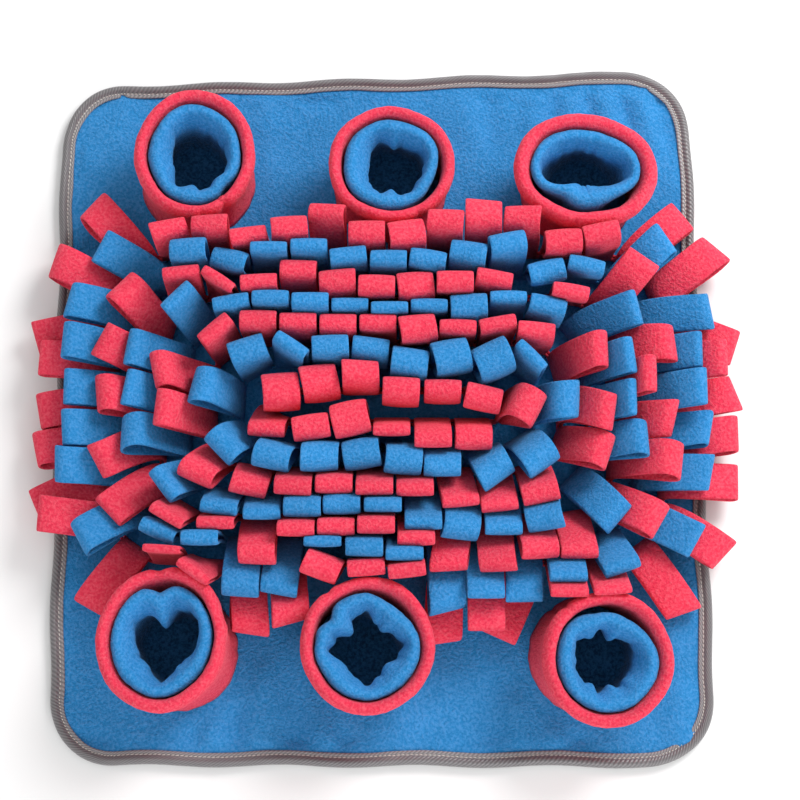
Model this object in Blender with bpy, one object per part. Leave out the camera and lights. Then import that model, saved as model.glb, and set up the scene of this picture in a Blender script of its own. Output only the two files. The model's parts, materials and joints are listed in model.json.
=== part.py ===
"""Snuffle mat: a bound fleece mat with seven rings of looped fringe and six double cups.

The mat lies on a surface at z = 0, +Y is its far edge, and the origin is under its middle.
Lengths are in metres and angles in degrees.
"""

import math
import random

import bmesh
import bpy
from mathutils import Matrix, Vector
from mathutils.bvhtree import BVHTree

# The mat: one panel of padded fleece, its edge tucked into a folded tape.
MAT_WIDTH = 0.450
MAT_LENGTH = 0.482
MAT_THICKNESS = 0.005
CORNER_RADIUS = 0.047
AIR = 0.0004  # left between pieces that touch

# The cut of the panel is a little out of square: how far each corner is drawn from the rectangle.
# side_x, side_y, shift_x, shift_y
CORNER_SHIFTS = (
    (-1, 1, -0.002, -0.006),
    (1, 1, -0.004, 0.007),
    (1, -1, 0.002, -0.001),
    (-1, -1, 0.004, 0.000),
)
EDGE_WAVE = 0.0010  # the edge wanders by this much
EDGE_WAVES = 5  # along each side
SIDE_STEP = 0.027  # between the points of a straight side
CORNER_SHARES = (0.38, 0.72, 1.0)  # of the radius, for the points of a round corner

# Soft ridges (+) and troughs (-) in the padding.
# from_x, from_y, to_x, to_y, spread, height
CREASES = (
    (0.118, 0.236, 0.104, 0.190, 0.010, 0.0022),
    (0.146, 0.236, 0.160, 0.196, 0.011, -0.0016),
    (0.170, 0.236, 0.182, 0.200, 0.009, 0.0020),
    (0.060, 0.236, 0.060, 0.206, 0.012, 0.0012),
    (-0.040, 0.236, -0.062, 0.190, 0.016, -0.0014),
    (-0.208, 0.180, -0.178, 0.205, 0.014, 0.0016),
    (-0.196, -0.150, -0.184, -0.226, 0.013, -0.0018),
    (-0.118, -0.204, -0.108, -0.236, 0.012, 0.0022),
    (-0.072, -0.150, -0.066, -0.236, 0.016, -0.0020),
    (-0.044, -0.206, -0.040, -0.236, 0.011, 0.0018),
    (0.066, -0.140, 0.076, -0.236, 0.018, -0.0016),
    (0.120, -0.212, 0.118, -0.236, 0.012, 0.0018),
    (0.196, -0.150, 0.204, -0.226, 0.014, 0.0016),
)
FADE_AT_TAPE = (0.006, 0.020)  # the creases fade out over these distances from the tape
FADE_AT_CUP = (0.010, 0.032)  # and over these from a cup's foot

# The binding's section: inset from the outline, and height. The mat's edge lies in its groove.
TAPE_INSET = 0.0095
TAPE_BACK = 0.0024
GROOVE_LOW = 0.0014
GROOVE_HIGH = 0.0052
UNDERSIDE_SLOPE = 0.0012  # width over which the mat's underside comes down beside the tape
TAPE_SECTION = (
    (0.0008, 0.0),
    (0.0, 0.0036),
    (TAPE_BACK, 0.0076),
    (TAPE_INSET, 0.0064),
    (TAPE_INSET, GROOVE_HIGH),
    (TAPE_BACK, GROOVE_HIGH),
    (TAPE_BACK, GROOVE_LOW),
    (TAPE_INSET, GROOVE_LOW),
    (TAPE_INSET, 0.0),
)

# Cups: a red tube on the mat with a rolled rim, and a blue pocket inside it.
CUP_HEIGHT = 0.058
CUP_BASE_RADIUS = 0.040
RIM_WIDTH = 0.0090
CUP_SIDES = 16
WIDEST_SHARE = 0.9  # of its height, where a cup reaches its rim's size
SWELL_POWER = 1.4  # how late it widens
FOLDED_SHARE = 0.5  # of its height, from where a pocket's gaps and folds have their full depth
# name, base_x, base_y, lean_x, lean_y, half_width, half_depth, turn
CUPS = (
    ("far_left", -0.128, 0.163, 0.003, 0.006, 0.0412, 0.0455, 4),
    ("far_middle", 0.008, 0.160, 0.001, 0.001, 0.0435, 0.0412, -6),
    ("far_right", 0.140, 0.156, 0.001, 0.001, 0.0500, 0.0405, -8),
    ("near_left", -0.134, -0.165, -0.007, 0.006, 0.0425, 0.0475, -10),
    ("near_middle", -0.010, -0.166, 0.004, 0.003, 0.0442, 0.0450, 0),
    ("near_right", 0.141, -0.168, 0.009, -0.005, 0.0425, 0.0445, 8),
)
# Where a pocket stands off its tube (+), or its own rim folds inwards (-).
# cup, direction, spread, depth
POCKET_GAPS = (
    ("far_middle", -20, 40, 0.0030),
    ("far_right", 215, 40, 0.0070),
    ("far_right", -50, 40, 0.0025),
    ("near_left", 118, 30, 0.0060),
    ("near_middle", 60, 35, 0.0045),
    ("near_middle", 145, 22, 0.0050),
    ("near_right", 80, 38, 0.0055),
    ("near_right", 20, 25, 0.0030),
)
POCKET_FOLDS = (
    ("far_left", 185, 40, 0.0070),
    ("far_left", 100, 24, 0.0040),
    ("far_left", -100, 26, 0.0040),
    ("far_middle", 190, 46, 0.0070),
    ("far_middle", 70, 24, 0.0030),
    ("far_middle", -100, 24, 0.0050),
    ("far_right", 95, 60, 0.0030),
    ("far_right", -95, 50, 0.0040),
    ("near_left", 118, 24, 0.0100),
    ("near_left", -45, 26, 0.0060),
    ("near_middle", 135, 34, 0.0075),
    ("near_middle", -40, 26, 0.0060),
    ("near_middle", 215, 24, 0.0040),
    ("near_right", 95, 30, 0.0050),
    ("near_right", 190, 26, 0.0035),
    ("near_right", -60, 26, 0.0045),
)
# Sections from the bottom outside over the rim to the bottom inside: share of the height, and
# distance in from the rim's outer edge. Below the rim the distance is from the base radius.
TUBE_SECTION = (
    (0.0, 0.0),
    (0.55, 0.0022),
    (0.90, 0.0),
    (1.0, 0.0045),
    (0.90, RIM_WIDTH),
    (0.70, 0.0080),
    (0.0, 0.0060),
)
POCKET_SECTION = (
    (0.0, 0.0035),
    (0.60, 0.0014),
    (0.87, 0.0),
    (0.96, 0.0038),
    (0.86, 0.0078),
    (0.50, 0.0066),
    (0.10, 0.0100),
)
FIRST_FOLDED_ROW = 4  # of the pocket's section, from where its inside is folded
POCKET_CLEAR = 0.0008  # between the pocket's rim and the tube's

# Fringe: doubled fleece sewn down along a strip and slit into loops.
FLEECE = 0.0023
LOOP_LENGTH = 0.060
LOOP_WIDTH = 0.0248
LOOP_PITCH = 0.0264
LEAST_ROOT = 0.012  # a tighter turn of a strip carries no loop
TUCK_SHARE = 1.3  # of the fleece, taken off each end of a root for a turn of 45 degrees
MOST_TUCK = 0.0036
TUCK_TURN = 60  # a sharper turn of the strip takes no more off
BARE_STEP = 0.006  # sections of a strip that turns a corner without loops
STRIP_HEIGHT = 0.005
SEWN = 0.012  # how far up a loop its two layers lie together
SLACK = 0.0003  # between the two layers of the strip
SEWN_SLACK = 0.0010  # between them where the sewn stretch ends
FOLD_SHARE = 1.1  # of half a loop's thickness, from its end back to where its fold starts
FOLD_FLAT = 0.5  # of half the thickness, which stays flat at its end
SWUNG_SHARE = 0.5  # of its length by which a loop has swung sideways
TWIST_SHARES = (0.1, 1.0)  # of its length over which it twists
BEND_STEPS = 12  # in which its middle line is walked
RING_MIDDLE = (0.0055, 0.002)
# The loops fall outwards, least where a cup crowds the middle of the near side.
# ring, colour, half_x, half_y, corner radius, shift of its first loop,
# lean of its sides, of its far side: left, right, and of its near side: left, middle, right
RINGS = (
    (1, "red", 0.1875, 0.1080, 0.042, 0.50, 86, 40, 34, 60, 20, 86),
    (2, "blue", 0.1705, 0.0925, 0.038, 0.95, 74, 30, 34, 38, 28, 54),
    (3, "red", 0.1535, 0.0770, 0.034, 0.25, 56, 20, 20, 34, 28, 42),
    (4, "blue", 0.1365, 0.0612, 0.030, 0.70, 50, 18, 16, 30, 24, 38),
    (5, "red", 0.1190, 0.0450, 0.026, 0.15, 40, 16, 12, 24, 16, 34),
    (6, "blue", 0.1005, 0.0290, 0.020, 0.60, 28, 12, 2, 8, 6, 30),
    (7, "red", 0.0820, 0.0112, 0.0105, 0.35, 14, -8, -16, -12, -14, 16),
)
SIDE_TURN = (0.80, 0.97)  # share of Y in the outward direction, from a side's lean to a near side's
FAR_TURN = (-0.020, 0.060)  # along X, from the left to the right lean of a far side
CROWDED = (-0.030, 0.012)  # from and to these places along X
CROWDED_EDGE = 0.020  # over which the crowding dies out
STANDING_OPEN = 0.0095  # between the layers of an upright loop, near its fold
LYING_OPEN = 0.0032
OPEN_SPREAD = (0.7, 1.15)
LEAN_SPREAD = 8
BOW_SPREAD = (4, 28)  # how far a loop's head nods over
BOW_SHARES = (0.20, 0.95)  # of its length over which it does
SWING_SPREAD = (9, 15)  # sideways, on the near and far sides and elsewhere
STRAY_SHARE = 0.22  # of the loops lie across their neighbours
STRAY_SWING = (18, 31)
TWIST_SPREAD = 16
LENGTH_SPREAD = 0.003
# A crowded loop is drawn with less of its turns, or swung aside, with less opening and bow, and
# leans by up to so many steps more or less.
# turned, aside, opened, bowed, steps
EASES = (
    (1.0, 0, 1.0, 1.0, 5),
    (0.6, 0, 0.85, 0.7, 5),
    (0.3, 0, 0.7, 0.4, 6),
    (0.0, 0, 0.5, 0.2, 8),
    (0.0, 24, 0.5, 0.2, 8),
    (0.0, -24, 0.5, 0.2, 8),
    (0.0, 0, 0.2, 0.0, 14),
    (0.0, 34, 0.2, 0.0, 14),
    (0.0, -34, 0.2, 0.0, 14),
    (0.0, 0, 0.1, 0.0, 30),
)
LEAN_STEP = 4
LEAST_LEAN = -34
MOST_LEAN = 92
# Then it sags and opens into the room left round it: what grows, by which steps, by how much in
# all and up to which value.
# key, step, most, least lean, limit
RELAXES = (
    ("open", 0.0016, 0.0080, LEAST_LEAN, 0.0130),
    ("bow", 7, 35, LEAST_LEAN, 60),
    ("lean", 4, 12, 15, 88),
    ("open", 0.0016, 0.0048, LEAST_LEAN, 0.0130),
    ("bow", 7, 21, LEAST_LEAN, 60),
)
CLEARANCE = 0.0004
SEED = 11

COLOURS = {
    "blue": ("#2F86CC", 0.95),
    "red": ("#E63A52", 0.95),
    "grey": ("#8C8A89", 0.70),
}


def to_linear(hex_colour):
    """Turn an sRGB hex colour into the linear values that a shader takes."""
    values = [int(hex_colour[i : i + 2], 16) / 255 for i in (1, 3, 5)]
    return [v / 12.92 if v <= 0.04045 else ((v + 0.055) / 1.055) ** 2.4 for v in values]


def clear_scene():
    for obj in list(bpy.data.objects):
        bpy.data.objects.remove(obj, do_unlink=True)


def add_object(name, bm, colour):
    """Make a named object of the finished shape, with its own material."""
    bmesh.ops.recalc_face_normals(bm, faces=bm.faces)
    mesh = bpy.data.meshes.new(name)
    bm.to_mesh(mesh)
    bm.free()
    mesh.shade_smooth()
    mesh.set_sharp_from_angle(angle=math.radians(40))
    hex_colour, roughness = COLOURS[colour]
    material = bpy.data.materials.new(f"{name}_{colour}")
    material.use_nodes = True
    shader = material.node_tree.nodes["Principled BSDF"]
    shader.inputs["Base Color"].default_value = (*to_linear(hex_colour), 1)
    shader.inputs["Roughness"].default_value = roughness
    shader.inputs["Metallic"].default_value = 0
    mesh.materials.append(material)
    obj = bpy.data.objects.new(name, mesh)
    bpy.context.scene.collection.objects.link(obj)
    return obj


def loft(bm, rings, closed_section):
    """Join rings of equal length into a skin, and join the last to the first if asked."""
    rows = [[bm.verts.new(point) for point in ring] for ring in rings]
    pairs = list(zip(rows, rows[1:] + rows[:1]))
    for low, high in pairs if closed_section else pairs[:-1]:
        for i in range(len(low)):
            j = (i + 1) % len(low)
            bm.faces.new((low[i], low[j], high[j], high[i]))
    return rows


def smooth(low, high, value):
    t = min(1.0, max(0.0, (value - low) / (high - low)))
    return t * t * (3 - 2 * t)


# ---------------------------------------------------------------- the mat and its binding


def round_corner(x, y, half_x, half_y, radius):
    """Move a point of a rectangle so that the rectangle's corners become round."""
    in_x = abs(x) - (half_x - radius)
    in_y = abs(y) - (half_y - radius)
    if in_x <= 0 or in_y <= 0:
        return x, y
    a = in_x / radius
    b = in_y / radius
    round_x = half_x - radius + radius * a * math.sqrt(1 - b * b / 2)
    round_y = half_y - radius + radius * b * math.sqrt(1 - a * a / 2)
    return math.copysign(round_x, x), math.copysign(round_y, y)


def as_cut(x, y):
    """Move a point of the true rectangle to where the uneven cut of the cloth has it."""
    u = x / MAT_WIDTH + 0.5
    v = y / MAT_LENGTH + 0.5
    out_x = x
    out_y = y
    for side_x, side_y, shift_x, shift_y in CORNER_SHIFTS:
        weight = (u if side_x > 0 else 1 - u) * (v if side_y > 0 else 1 - v)
        out_x += weight * shift_x
        out_y += weight * shift_y
    turns = 2 * math.pi * EDGE_WAVES
    out_x += EDGE_WAVE * (2 * u - 1) * math.sin(turns * v + 1.0)
    out_y += EDGE_WAVE * (2 * v - 1) * math.sin(turns * u)
    return out_x, out_y


def cut_lines(half, radius):
    """Places along one axis: even steps over the straight run, and closer ones in the corners."""
    flat = half - radius
    count = round(2 * flat / SIDE_STEP)
    lines = [-flat + 2 * flat * i / count for i in range(count + 1)]
    corner = [flat + radius * share for share in CORNER_SHARES]
    return [-line for line in reversed(corner)] + lines + corner


def sizes_inside(inset):
    """Half width, half length and corner radius of the mat's outline, this far in."""
    return MAT_WIDTH / 2 - inset, MAT_LENGTH / 2 - inset, CORNER_RADIUS - inset


def outline(inset):
    """The mat's outline as a ring of points, this far in from its edge."""
    half_x, half_y, radius = sizes_inside(inset)
    xs = cut_lines(half_x, radius)
    ys = cut_lines(half_y, radius)
    square = [(half_x, y) for y in ys[:-1]]
    square += [(x, half_y) for x in reversed(xs[1:])]
    square += [(-half_x, y) for y in reversed(ys[1:])]
    square += [(x, -half_y) for x in xs[:-1]]
    return [as_cut(*round_corner(x, y, half_x, half_y, radius)) for x, y in square]


def relief(x, y):
    """Height of the padding's soft ridges and troughs, which die out at the binding and cups."""
    height = 0.0
    for x0, y0, x1, y1, spread, rise in CREASES:
        run = Vector((x1 - x0, y1 - y0))
        place = Vector((x - x0, y - y0))
        share = min(1.0, max(0.0, place.dot(run) / run.length_squared))
        off = (place - run * share).length / spread
        height += rise * math.exp(-off * off)
    edge = min(MAT_WIDTH / 2 - abs(x), MAT_LENGTH / 2 - abs(y)) - TAPE_INSET
    height *= smooth(*FADE_AT_TAPE, edge)
    for _, base_x, base_y, *_ in CUPS:
        off = math.hypot(x - base_x, y - base_y) - CUP_BASE_RADIUS
        height *= smooth(*FADE_AT_CUP, off)
    return height


def mat_top(x, y):
    return MAT_THICKNESS + relief(x, y)


def build_mat():
    half_x, half_y, radius = sizes_inside(TAPE_BACK + AIR)
    xs = cut_lines(half_x, radius)
    ys = cut_lines(half_y, radius)
    bm = bmesh.new()
    rows = []
    for y in ys:
        row = []
        for x in xs:
            flat_x, flat_y = round_corner(x, y, half_x, half_y, radius)
            cut_x, cut_y = as_cut(flat_x, flat_y)
            on_edge = abs(x) == half_x or abs(y) == half_y
            top = GROOVE_HIGH - 2 * AIR if on_edge else mat_top(cut_x, cut_y)
            row.append(bm.verts.new((cut_x, cut_y, top)))
        rows.append(row)
    for low, high in zip(rows, rows[1:]):
        for i in range(len(low) - 1):
            bm.faces.new((low[i], low[i + 1], high[i + 1], high[i]))
    rim = [edge for edge in bm.edges if edge.is_boundary]
    made = bmesh.ops.extrude_edge_only(bm, edges=rim)["geom"]
    skirt = [item for item in made if isinstance(item, bmesh.types.BMVert)]
    for vert in skirt:
        vert.co.z = GROOVE_LOW + AIR
    lower = [edge for edge in bm.edges if edge.is_boundary]
    bottom = bmesh.ops.contextual_create(bm, geom=lower)["faces"]
    # The underside steps down to the surface just inside the tape's lower edge.
    bmesh.ops.inset_individual(bm, faces=bottom, thickness=TAPE_INSET - TAPE_BACK)
    bmesh.ops.inset_individual(bm, faces=bottom, thickness=UNDERSIDE_SLOPE)
    for vert in bottom[0].verts:
        vert.co.z = 0.0
    add_object("mat", bm, "blue")


def build_binding():
    bm = bmesh.new()
    rings = []
    for inset, height in TAPE_SECTION:
        rings.append([(x, y, height) for x, y in outline(inset)])
    loft(bm, rings, closed_section=True)
    add_object("binding", bm, "grey")


# ---------------------------------------------------------------- the cups


def bumps(table, cup_name, angle):
    """Sum of a cup's rows at an angle: each row is a soft bump centred on its direction."""
    total = 0.0
    for name, direction, spread, depth in table:
        if name != cup_name:
            continue
        off = (math.degrees(angle) - direction + 180) % 360 - 180
        total += depth * math.exp(-((off / spread) ** 2))
    return total


def cup_point(cup, angle, share, in_from_rim):
    """A point of a cup at this angle and share of its height, this far inside its outer face."""
    _, base_x, base_y, lean_x, lean_y, half_width, half_depth, turn = cup
    swell = min(1.0, share / WIDEST_SHARE) ** SWELL_POWER
    turned = angle - math.radians(turn)
    rim = half_width * half_depth / math.hypot(
        half_depth * math.cos(turned), half_width * math.sin(turned)
    )
    radius = CUP_BASE_RADIUS + (rim - CUP_BASE_RADIUS) * swell - in_from_rim
    x = base_x + lean_x * share + radius * math.cos(angle)
    y = base_y + lean_y * share + radius * math.sin(angle)
    return x, y, MAT_THICKNESS + AIR + (CUP_HEIGHT - AIR) * share


def cup_angles(sides):
    return [2 * math.pi * i / sides for i in range(sides)]


def tube_rings(cup, sides):
    """The red tube's rings, from its foot outside, over the rim, to its foot inside."""
    angles = cup_angles(sides)
    return [[cup_point(cup, angle, *row) for angle in angles] for row in TUBE_SECTION]


def pocket_rings(cup, sides):
    """The blue pocket's rings, inside the tube's rim and with its own rim folded in places."""
    rings = []
    for row, (share, inside) in enumerate(POCKET_SECTION):
        folded = min(1.0, share / FOLDED_SHARE)
        ring = []
        for angle in cup_angles(sides):
            depth = RIM_WIDTH + POCKET_CLEAR + inside
            depth += bumps(POCKET_GAPS, cup[0], angle) * folded
            if row >= FIRST_FOLDED_ROW:
                depth += bumps(POCKET_FOLDS, cup[0], angle) * folded
            ring.append(cup_point(cup, angle, share, depth))
        rings.append(ring)
    return rings


def build_cup(cup):
    bm = bmesh.new()
    loft(bm, tube_rings(cup, CUP_SIDES), closed_section=True)
    add_object(f"cup_outer_{cup[0]}", bm, "red")
    bm = bmesh.new()
    rows = loft(bm, pocket_rings(cup, CUP_SIDES), closed_section=False)
    bm.faces.new(rows[0])
    bm.faces.new(rows[-1])
    add_object(f"cup_inner_{cup[0]}", bm, "blue")


# ---------------------------------------------------------------- the fringe


def ring_size(ring):
    """Half sizes and corner radius of a ring's sewing line."""
    return RINGS[ring - 1][2:5]


def ring_length(ring):
    half_x, half_y, radius = ring_size(ring)
    return 4 * (half_x + half_y) - 8 * radius + 2 * math.pi * radius


def ring_place(ring, far):
    """Where a ring's sewing line is after this length, counter-clockwise from its far side."""
    half_x, half_y, radius = ring_size(ring)
    runs = (half_x - radius, half_y - radius)
    far = far % ring_length(ring)
    # The walk starts at the middle of the far side and takes a run, a corner, a run...
    x = RING_MIDDLE[0]
    y = RING_MIDDLE[1] + half_y
    heading = math.pi
    steps = [runs[0]]
    for side in (1, 0, 1, 0):
        steps += [None, 2 * runs[side]]
    for run in steps:
        if run is None:
            arc = radius * math.pi / 2
            turn = min(far, arc) / radius
            x += radius * (math.sin(heading + turn) - math.sin(heading))
            y -= radius * (math.cos(heading + turn) - math.cos(heading))
            heading += turn
            far -= arc
        else:
            x += math.cos(heading) * min(far, run)
            y += math.sin(heading) * min(far, run)
            far -= run
        if far <= 0:
            break
    return Vector((x, y, 0))


def near_lean(near_leans, x):
    """Lean of a loop of the near side: one value left of the cup, one at it, one right of it."""
    left, middle, right = near_leans
    from_x, to_x = CROWDED
    lean = left + (middle - left) * smooth(from_x - CROWDED_EDGE, from_x, x)
    return lean + (right - middle) * smooth(to_x, to_x + CROWDED_EDGE, x)


def draw_loops(row):
    """The loops of a ring as drawn, before they settle on what lies around them."""
    ring = row[0]
    first, side_lean, far_left, far_right, *near_leans = row[5:]
    length = ring_length(ring)
    count = round(length / LOOP_PITCH)
    draw = random.Random(SEED * ring)
    loops = []
    for i in range(count):
        middle = length * (i + first) / count
        ahead = ring_place(ring, middle + LOOP_WIDTH / 2) - ring_place(ring, middle)
        behind = ring_place(ring, middle) - ring_place(ring, middle - LOOP_WIDTH / 2)
        # Where the strip turns a corner the roots are narrower, so that neighbours don't meet.
        turn = min(behind.angle(ahead), math.radians(TUCK_TURN))
        tuck = min(MOST_TUCK, TUCK_SHARE * FLEECE * math.tan(turn))
        left = ring_place(ring, middle - LOOP_WIDTH / 2 + tuck)
        right = ring_place(ring, middle + LOOP_WIDTH / 2 - tuck)
        along = right - left
        root_width = along.length
        along.normalize()
        outward = Vector((along.y, -along.x, 0))
        root = (left + right) / 2
        lean = side_lean
        far_lean = far_left + (far_right - far_left) * smooth(*FAR_TURN, root.x)
        lean += (far_lean - side_lean) * smooth(*SIDE_TURN, outward.y)
        lean += (near_lean(near_leans, root.x) - side_lean) * smooth(*SIDE_TURN, -outward.y)
        lean += draw.uniform(-1, 1) * LEAN_SPREAD
        upright = math.cos(math.radians(lean))
        straight = abs(outward.y) > SIDE_TURN[1]
        swing = draw.uniform(-1, 1) * SWING_SPREAD[0 if straight else 1]
        if draw.random() < STRAY_SHARE:
            swing = math.copysign(draw.uniform(*STRAY_SWING), swing)
        loop = {
            "name": (ring, i),
            "from": middle - LOOP_WIDTH / 2 + tuck,
            "to": middle + LOOP_WIDTH / 2 - tuck,
            "root": root,
            "outward": outward,
            "root_width": root_width,
            "lean": lean,
            "swing": swing,
            "twist": draw.uniform(-1, 1) * TWIST_SPREAD,
            "open": (LYING_OPEN + (STANDING_OPEN - LYING_OPEN) * upright)
            * draw.uniform(*OPEN_SPREAD),
            "length": LOOP_LENGTH + draw.uniform(-1, 1) * LENGTH_SPREAD,
            "bow": draw.uniform(*BOW_SPREAD),
        }
        if root_width > LEAST_ROOT:
            loops.append(loop)
    return loops


def loop_frame(loop, far):
    """A loop's middle line: its point, width axis and downward side after this length."""
    point = loop["root"] + Vector((0, 0, MAT_THICKNESS + AIR + STRIP_HEIGHT))
    share = 0.0
    heading = Vector((0, 0, 1))
    for step in range(BEND_STEPS + 1):
        walked = far * step / BEND_STEPS
        share = walked / loop["length"]
        bend = min(1.0, walked / SEWN)
        lean = math.radians(loop["lean"] * bend + loop["bow"] * smooth(*BOW_SHARES, share))
        swing = math.radians(loop["swing"] * smooth(0.0, SWUNG_SHARE, share))
        level = Matrix.Rotation(swing, 3, "Z") @ loop["outward"]
        heading = level * math.sin(lean) + Vector((0, 0, math.cos(lean)))
        if step < BEND_STEPS:
            point = point + heading * (far / BEND_STEPS)
    across = Vector((0, 0, 1)).cross(level)
    twist = math.radians(loop["twist"]) * smooth(*TWIST_SHARES, share)
    across = Matrix.Rotation(twist, 3, heading) @ across
    return point, across, across.cross(heading)


def loop_points(loop, grow=0.0):
    """Corners of a loop's outer face and of its hole, for its left and right cut edges."""
    opened = FLEECE / 2 + loop["open"] / 2
    fold = loop["length"] - FOLD_SHARE * (opened + FLEECE / 2)
    # length along the loop, half the distance between its layers' middles
    stations = (
        (0.0, (FLEECE + SLACK) / 2),
        (SEWN, (FLEECE + SEWN_SLACK) / 2),
        (fold, opened),
    )
    sides = []
    for side in (-1, 1):
        under = []
        over = []
        hole_under = []
        hole_over = []
        for far, apart in stations:
            point, across, down = loop_frame(loop, far)
            width = loop["root_width"] if far == 0 else LOOP_WIDTH
            edge = point + across * side * (width / 2 + grow)
            under.append(edge + down * (apart + FLEECE / 2 + grow))
            over.append(edge - down * (apart + FLEECE / 2 + grow))
            hole_under.append(edge + down * (apart - FLEECE / 2))
            hole_over.append(edge - down * (apart - FLEECE / 2))
        point, across, down = loop_frame(loop, loop["length"] + grow)
        edge = point + across * side * (LOOP_WIDTH / 2 + grow)
        tip = FOLD_FLAT * (opened + FLEECE / 2)
        outer = [*under, edge + down * tip, edge - down * tip, *reversed(over)]
        hole = [*hole_under[1:], *reversed(hole_over[1:])]
        sides.append((outer, hole))
    return sides


# The cut edge of a loop as faces: places on its outer line (o) and on its hole (h).
LOOP_CUT_FACES = (
    (("o", 0), ("o", 1), ("h", 0), ("h", 3), ("o", 6), ("o", 7)),
    (("o", 1), ("o", 2), ("h", 1), ("h", 0)),
    (("o", 2), ("o", 3), ("h", 1)),
    (("o", 3), ("o", 4), ("h", 2), ("h", 1)),
    (("o", 4), ("o", 5), ("h", 2)),
    (("o", 5), ("o", 6), ("h", 3), ("h", 2)),
)


def add_loop(bm, loop, grow=0.0):
    """Add one loop, open at its root, and give back its four root points."""
    sides = []
    for outer, hole in loop_points(loop, grow):
        verts = {("o", i): bm.verts.new(p) for i, p in enumerate(outer)}
        verts.update({("h", i): bm.verts.new(p) for i, p in enumerate(hole)})
        sides.append(verts)
    left, right = sides
    for face in LOOP_CUT_FACES:
        bm.faces.new([left[key] for key in face])
        bm.faces.new([right[key] for key in reversed(face)])
    for i in range(7):
        j = i + 1
        bm.faces.new((left["o", j], left["o", i], right["o", i], right["o", j]))
    for i in range(4):
        j = (i + 1) % 4
        bm.faces.new((left["h", i], left["h", j], right["h", j], right["h", i]))
    return [(side["o", 0], side["o", 7]) for side in sides]


def in_triangles(bm):
    """Split every face in the same way, also on a loop that is a little larger."""
    bmesh.ops.triangulate(bm, faces=bm.faces, quad_method="FIXED", ngon_method="EAR_CLIP")


def as_tree(bm):
    in_triangles(bm)
    tree = BVHTree.FromBMesh(bm)
    bm.free()
    return tree


def strip_section(ring, far):
    """The four corners of a ring's sewn strip at this place: outside low, then round."""
    ahead = ring_place(ring, far + 0.0005) - ring_place(ring, far - 0.0005)
    ahead.normalize()
    outward = Vector((ahead.y, -ahead.x, 0))
    half = FLEECE + SLACK / 2
    low = MAT_THICKNESS + AIR
    middle = ring_place(ring, far)
    return [
        middle + outward * side * half + Vector((0, 0, low + height))
        for side, height in ((1, 0), (1, STRIP_HEIGHT), (-1, STRIP_HEIGHT), (-1, 0))
    ]


def plain_strip(ring):
    """A ring's sewn strip by itself, for the loops to lie against."""
    bm = bmesh.new()
    length = ring_length(ring)
    steps = math.ceil(length / BARE_STEP)
    loft(bm, [strip_section(ring, length * i / steps) for i in range(steps)], closed_section=True)
    return bm


def skin(loop, grow=0.0):
    """A loop by itself, for the others to lie against."""
    bm = bmesh.new()
    add_loop(bm, loop, grow)
    return bm


def is_clear(loop, placed):
    """Whether a loop, grown by the clearance, keeps off the mat and all that is placed."""
    bm = skin(loop, CLEARANCE)
    lowest = min(vert.co.z for vert in bm.verts)
    if lowest < TAPE_SECTION[2][1] + CLEARANCE:
        bm.free()
        return False
    tree = as_tree(bm)
    reach = 2 * LOOP_LENGTH + LOOP_WIDTH
    for name, (middle, other) in placed.items():
        near = middle is None or (middle - loop["root"]).length < reach
        # A loop grows out of its own ring's strip.
        if near and name != loop["name"][0] and tree.overlap(other):
            return False
    return True


def settle(loop, placed):
    """Stand a loop where it is drawn, or as near to that as there is room for it."""
    drawn = dict(loop)
    for turned, aside, opened, bowed, most_steps in EASES:
        loop["swing"] = drawn["swing"] * turned + aside
        loop["twist"] = drawn["twist"] * turned
        loop["open"] = drawn["open"] * opened
        loop["bow"] = drawn["bow"] * bowed
        for step in range(most_steps):
            for way in (-1, 1):
                loop["lean"] = drawn["lean"] + way * step * LEAN_STEP
                fits = LEAST_LEAN <= loop["lean"] <= MOST_LEAN
                if fits and is_clear(loop, placed):
                    return True
    return False


def relax(loops, placed):
    """Let the settled loops open up and sag into the room that is left round them."""
    for key, step, most, least_lean, limit in RELAXES:
        for loop in loops:
            if loop["lean"] < least_lean:
                continue
            placed.pop(loop["name"])
            most_here = min(limit, loop[key] + most)
            while loop[key] + step <= most_here:
                loop[key] += step
                if not is_clear(loop, placed):
                    loop[key] -= step
                    break
            placed[loop["name"]] = (loop["root"], as_tree(skin(loop)))


def place_loops():
    """Settle every ring's loops, from the outermost ring inwards, between the cups."""
    placed = {}
    for cup in CUPS:
        bm = bmesh.new()
        loft(bm, tube_rings(cup, CUP_SIDES), closed_section=True)
        placed[cup[0]] = (Vector((cup[1], cup[2], 0)), as_tree(bm))
    for row in RINGS:
        placed[row[0]] = (None, as_tree(plain_strip(row[0])))
    fringe = []
    for row in RINGS:
        settled = []
        # Those that swing most come last, so they lie across the others.
        for loop in sorted(draw_loops(row), key=lambda each: abs(each["swing"])):
            if settle(loop, placed):
                settled.append(loop)
                placed[loop["name"]] = (loop["root"], as_tree(skin(loop)))
        settled.sort(key=lambda each: each["from"])
        fringe.append((row, settled))
    relax([loop for _, loops in fringe for loop in loops], placed)
    return fringe


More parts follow.
